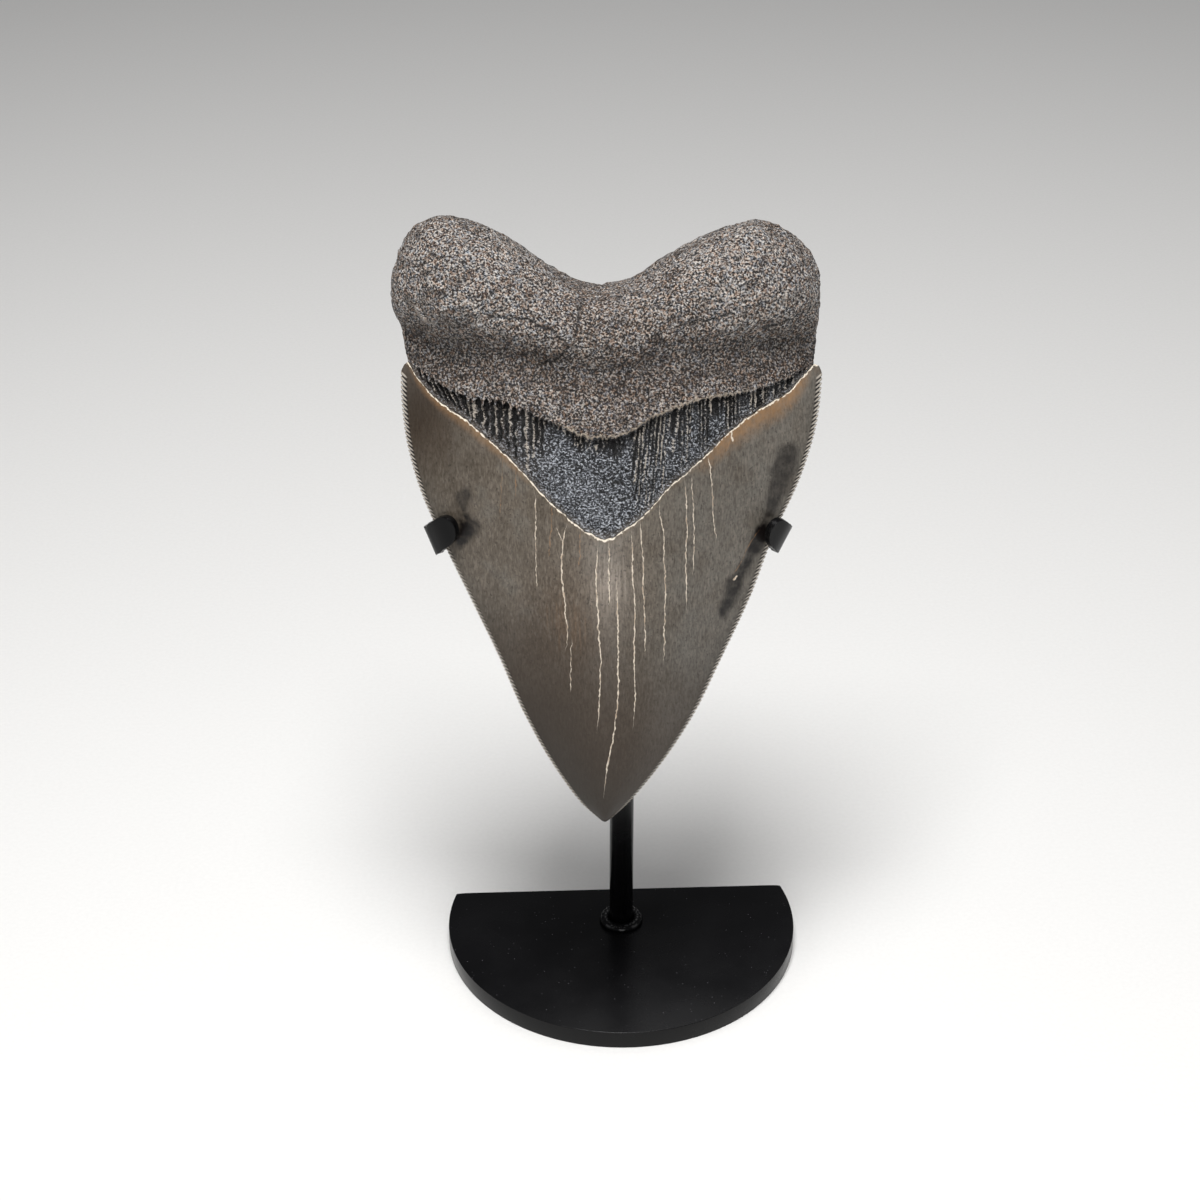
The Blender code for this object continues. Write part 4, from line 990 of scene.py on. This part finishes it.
# Each tissue's colour is laid on in coats: what steers the coat, where it starts and is full, how
# much of it, and its colour.
coats = {
    "enamel": ("#5b5349", [
        ("clouds", 0.42, 0.64, 0.55, "#686056"), ("grey", 0.0, 1.0, 0.50, "#66645f"),
        ("blotch", 0.50, 0.64, 0.40, "#4a4136"), ("blotch", 0.46, 0.34, 0.30, "#6c6a64"),
        ("brown", 0.1, 0.9, 0.50, "#524131"), ("brown_hairs", 0.44, 0.60, 0.35, "#80644a"),
        # Painted sheen in the middle of the blade, its hairs lighter there too.
        ("blade_sheen", 0.0, 1.0, 0.38, "#8a8075"), ("sheen_hairs", 0.36, 0.60, 0.42, "#a99d91"),
        ("fibres", 0.50, 0.64, 0.42, "#322b24"), ("fibres", 0.46, 0.34, 0.30, "#857b70"),
        ("tint", 0.56, 0.66, 0.30, "#38312a"), ("patchy", 0.56, 0.68, 0.22, "#7d756c"),
        ("dots", 0.64, 0.72, 0.55, "#241f1b"), ("from_edge", 5.0, 0.4, 0.40, "#3d3933"),
        # Darker towards the tip and at the left shoulder: own tone and painted shade.
        ("dark_tone_and_shade", 0.2, 0.7, 0.60, "#4a3420"), ("dark_tone_and_shade", 0.0, 0.9, 0.95, "#181209"),
        # Stains; beside the arms' lips they are partly the lips' painted shadows.
        ("warm_patches", 0.15, 0.95, 0.75, "#8f6c48"), ("stain_and_shadow", 0.0, 0.9, 1.0, "#0f0b0a"),
        # Painted shade in the saw notches, and a painted highlight on each bead.
        ("saw_notch_shade", 0.15, 0.55, 0.96, "#090706"), ("saw_bead_highlight", 0.30, 0.70, 0.88, "#aea69b"),
        ("brown_crack", 0.0, 1.0, 0.60, "#93704f"), ("cream_crack", 0.0, 1.0, 0.95, "#d6c9b7"),
        ("cream_patches", 0.50, 0.62, 0.70, "#8f7255"), ("enamel_rim", 1.00, 0.78, 0.95, "#ebe0ce")]),
    "root": ("#7e7873", [
        ("hue", 0.52, 0.64, 0.70, "#805a43"), ("hue", 0.46, 0.34, 0.60, "#606c78"),
        ("blotch", 0.46, 0.60, 0.60, "#4b3d32"), ("blotch", 0.44, 0.32, 0.45, "#a09a94"),
        # Painted shade in the root's hollow over its darker tone; the root darker below it and mid-bulge.
        ("mottled_hollow_shade", 0.60, 1.30, 0.55, "#2a1b10"), ("root_darkening", 0.0, 1.0, 0.50, "#3d2a1b"),
        # Light grit sits on the bump's peaks: the bone's pale grains, partly painted highlight.
        ("grit", 0.51, 0.62, 0.84, "#d6cfc7"),
        ("tint", 0.54, 0.64, 0.38, "#9a6f4b"), ("tint", 0.46, 0.36, 0.32, "#667b93"),
        ("hue", 0.48, 0.66, 0.42, "#2e2019"), ("crumple", 0.52, 0.66, 0.50, "#2f2620"),
        # More of the painted shade in the hollow, and of the darkening below it.
        ("mottled_hollow_shade", 0.62, 1.40, 0.42, "#20140b"), ("root_darkening", 0.0, 1.0, 0.20, "#3a2413"),
        # Dark grit sits in the bump's pits: partly painted shade. The pale ledge lines are painted highlight.
        ("grit", 0.50, 0.42, 0.96, "#080605"), ("ledge_highlight", 0.3, 0.9, 0.45, "#b5aba0"),
        # A painted highlight along the root's rim.
        ("root_crack", 0.2, 0.9, 0.90, "#080606"), ("root_rim_highlight", 0.15, 0.55, 0.75, "#b3a695")]),
    "band": ("#3a3d43", [
        ("crumple", 0.56, 0.38, 0.80, "#121316"), ("sheen", 0.1, 1.0, 0.50, "#7c7f85"),
        # Pale bead specks on the bumps' peaks are painted glints; the dark under the root's rim is painted
        # shade.
        ("beads", 0.52, 0.65, 0.88, "#c8ccd3"), ("shade_under_rim", 1.0, 0.0, 0.55, "#0d0d0f"),
        # Dark bead specks lie in the bumps' pits, partly painted shade.
        ("beads", 0.51, 0.42, 0.95, "#060607"), ("furrow", 0.25, 0.85, 0.80, "#0a0a0b"),
        ("across", -10.0, -22.0, 0.40, "#463a30"), ("above_enamel", 2.0, 0.2, 0.35, "#7a7167"),
        # Painted shade in the slots between the ridges.
        ("slot_shade", 0.12, 0.50, 0.97, "#050404"), ("crest", 0.68, 0.90, 0.90, "#c3b9ac")]),
}
tissue = {}
for name, (ground, layers) in coats.items():
    tissue[name] = linear(ground)
    for steer, start_at, full_at, strength, code in layers:
        amount = put(tree, "MapRange", {0: guide[steer], 1: start_at, 2: full_at, 4: strength})
        tissue[name] = put(tree, "Mix", {0: amount, 6: tissue[name], 7: linear(code)}, 2, data_type="RGBA")
in_root, in_enamel = guide["in_root"], guide["in_enamel"]
colour = put(tree, "Mix", {0: in_root, 6: tissue["band"], 7: tissue["root"]}, 2, data_type="RGBA")
colour = put(tree, "Mix", {0: in_enamel, 6: colour, 7: tissue["enamel"]}, 2, data_type="RGBA")
tree.links.new(colour, shader.inputs["Base Color"])

ROOT_ROUGHNESS, BAND_ROUGHNESS = 0.52, 0.33
rough = put(tree, "MapRange", {0: guide["clouds"], 1: 0.3, 2: 0.7, 3: 0.30, 4: 0.38})
rough = put(tree, "Mix", {0: in_enamel, 2: BAND_ROUGHNESS, 3: rough}, data_type="FLOAT")
rough = put(tree, "Mix", {0: in_root, 2: rough, 3: ROOT_ROUGHNESS}, data_type="FLOAT")
tree.links.new(rough, shader.inputs["Roughness"])
shader.inputs["IOR"].default_value = 1.6
shader.inputs["Specular IOR Level"].default_value = 0.30

# Relief too fine for the mesh, in millimetres: fibres and cracks in the enamel, grit elsewhere.
work_out([("fine_enamel", "MULTIPLY", "fibres", 0.05), ("fine_root", "MULTIPLY", "grit", 0.85),
          ("fine_enamel", "MULTIPLY_ADD", "cream_crack", 0.05, "fine_enamel")])
fine = put(tree, "Mix", {0: in_root, 2: guide["beads"], 3: guide["fine_root"]}, data_type="FLOAT")
fine = put(tree, "Mix", {0: in_enamel, 2: fine, 3: guide["fine_enamel"]}, data_type="FLOAT")
bump = put(tree, "Bump", {"Height": fine, "Strength": 1.0, "Distance": MM})
tree.links.new(bump, shader.inputs["Normal"])

tooth.matrix_world = seat
settle(tooth, fossil, "tooth")
bpy.ops.object.shade_smooth()
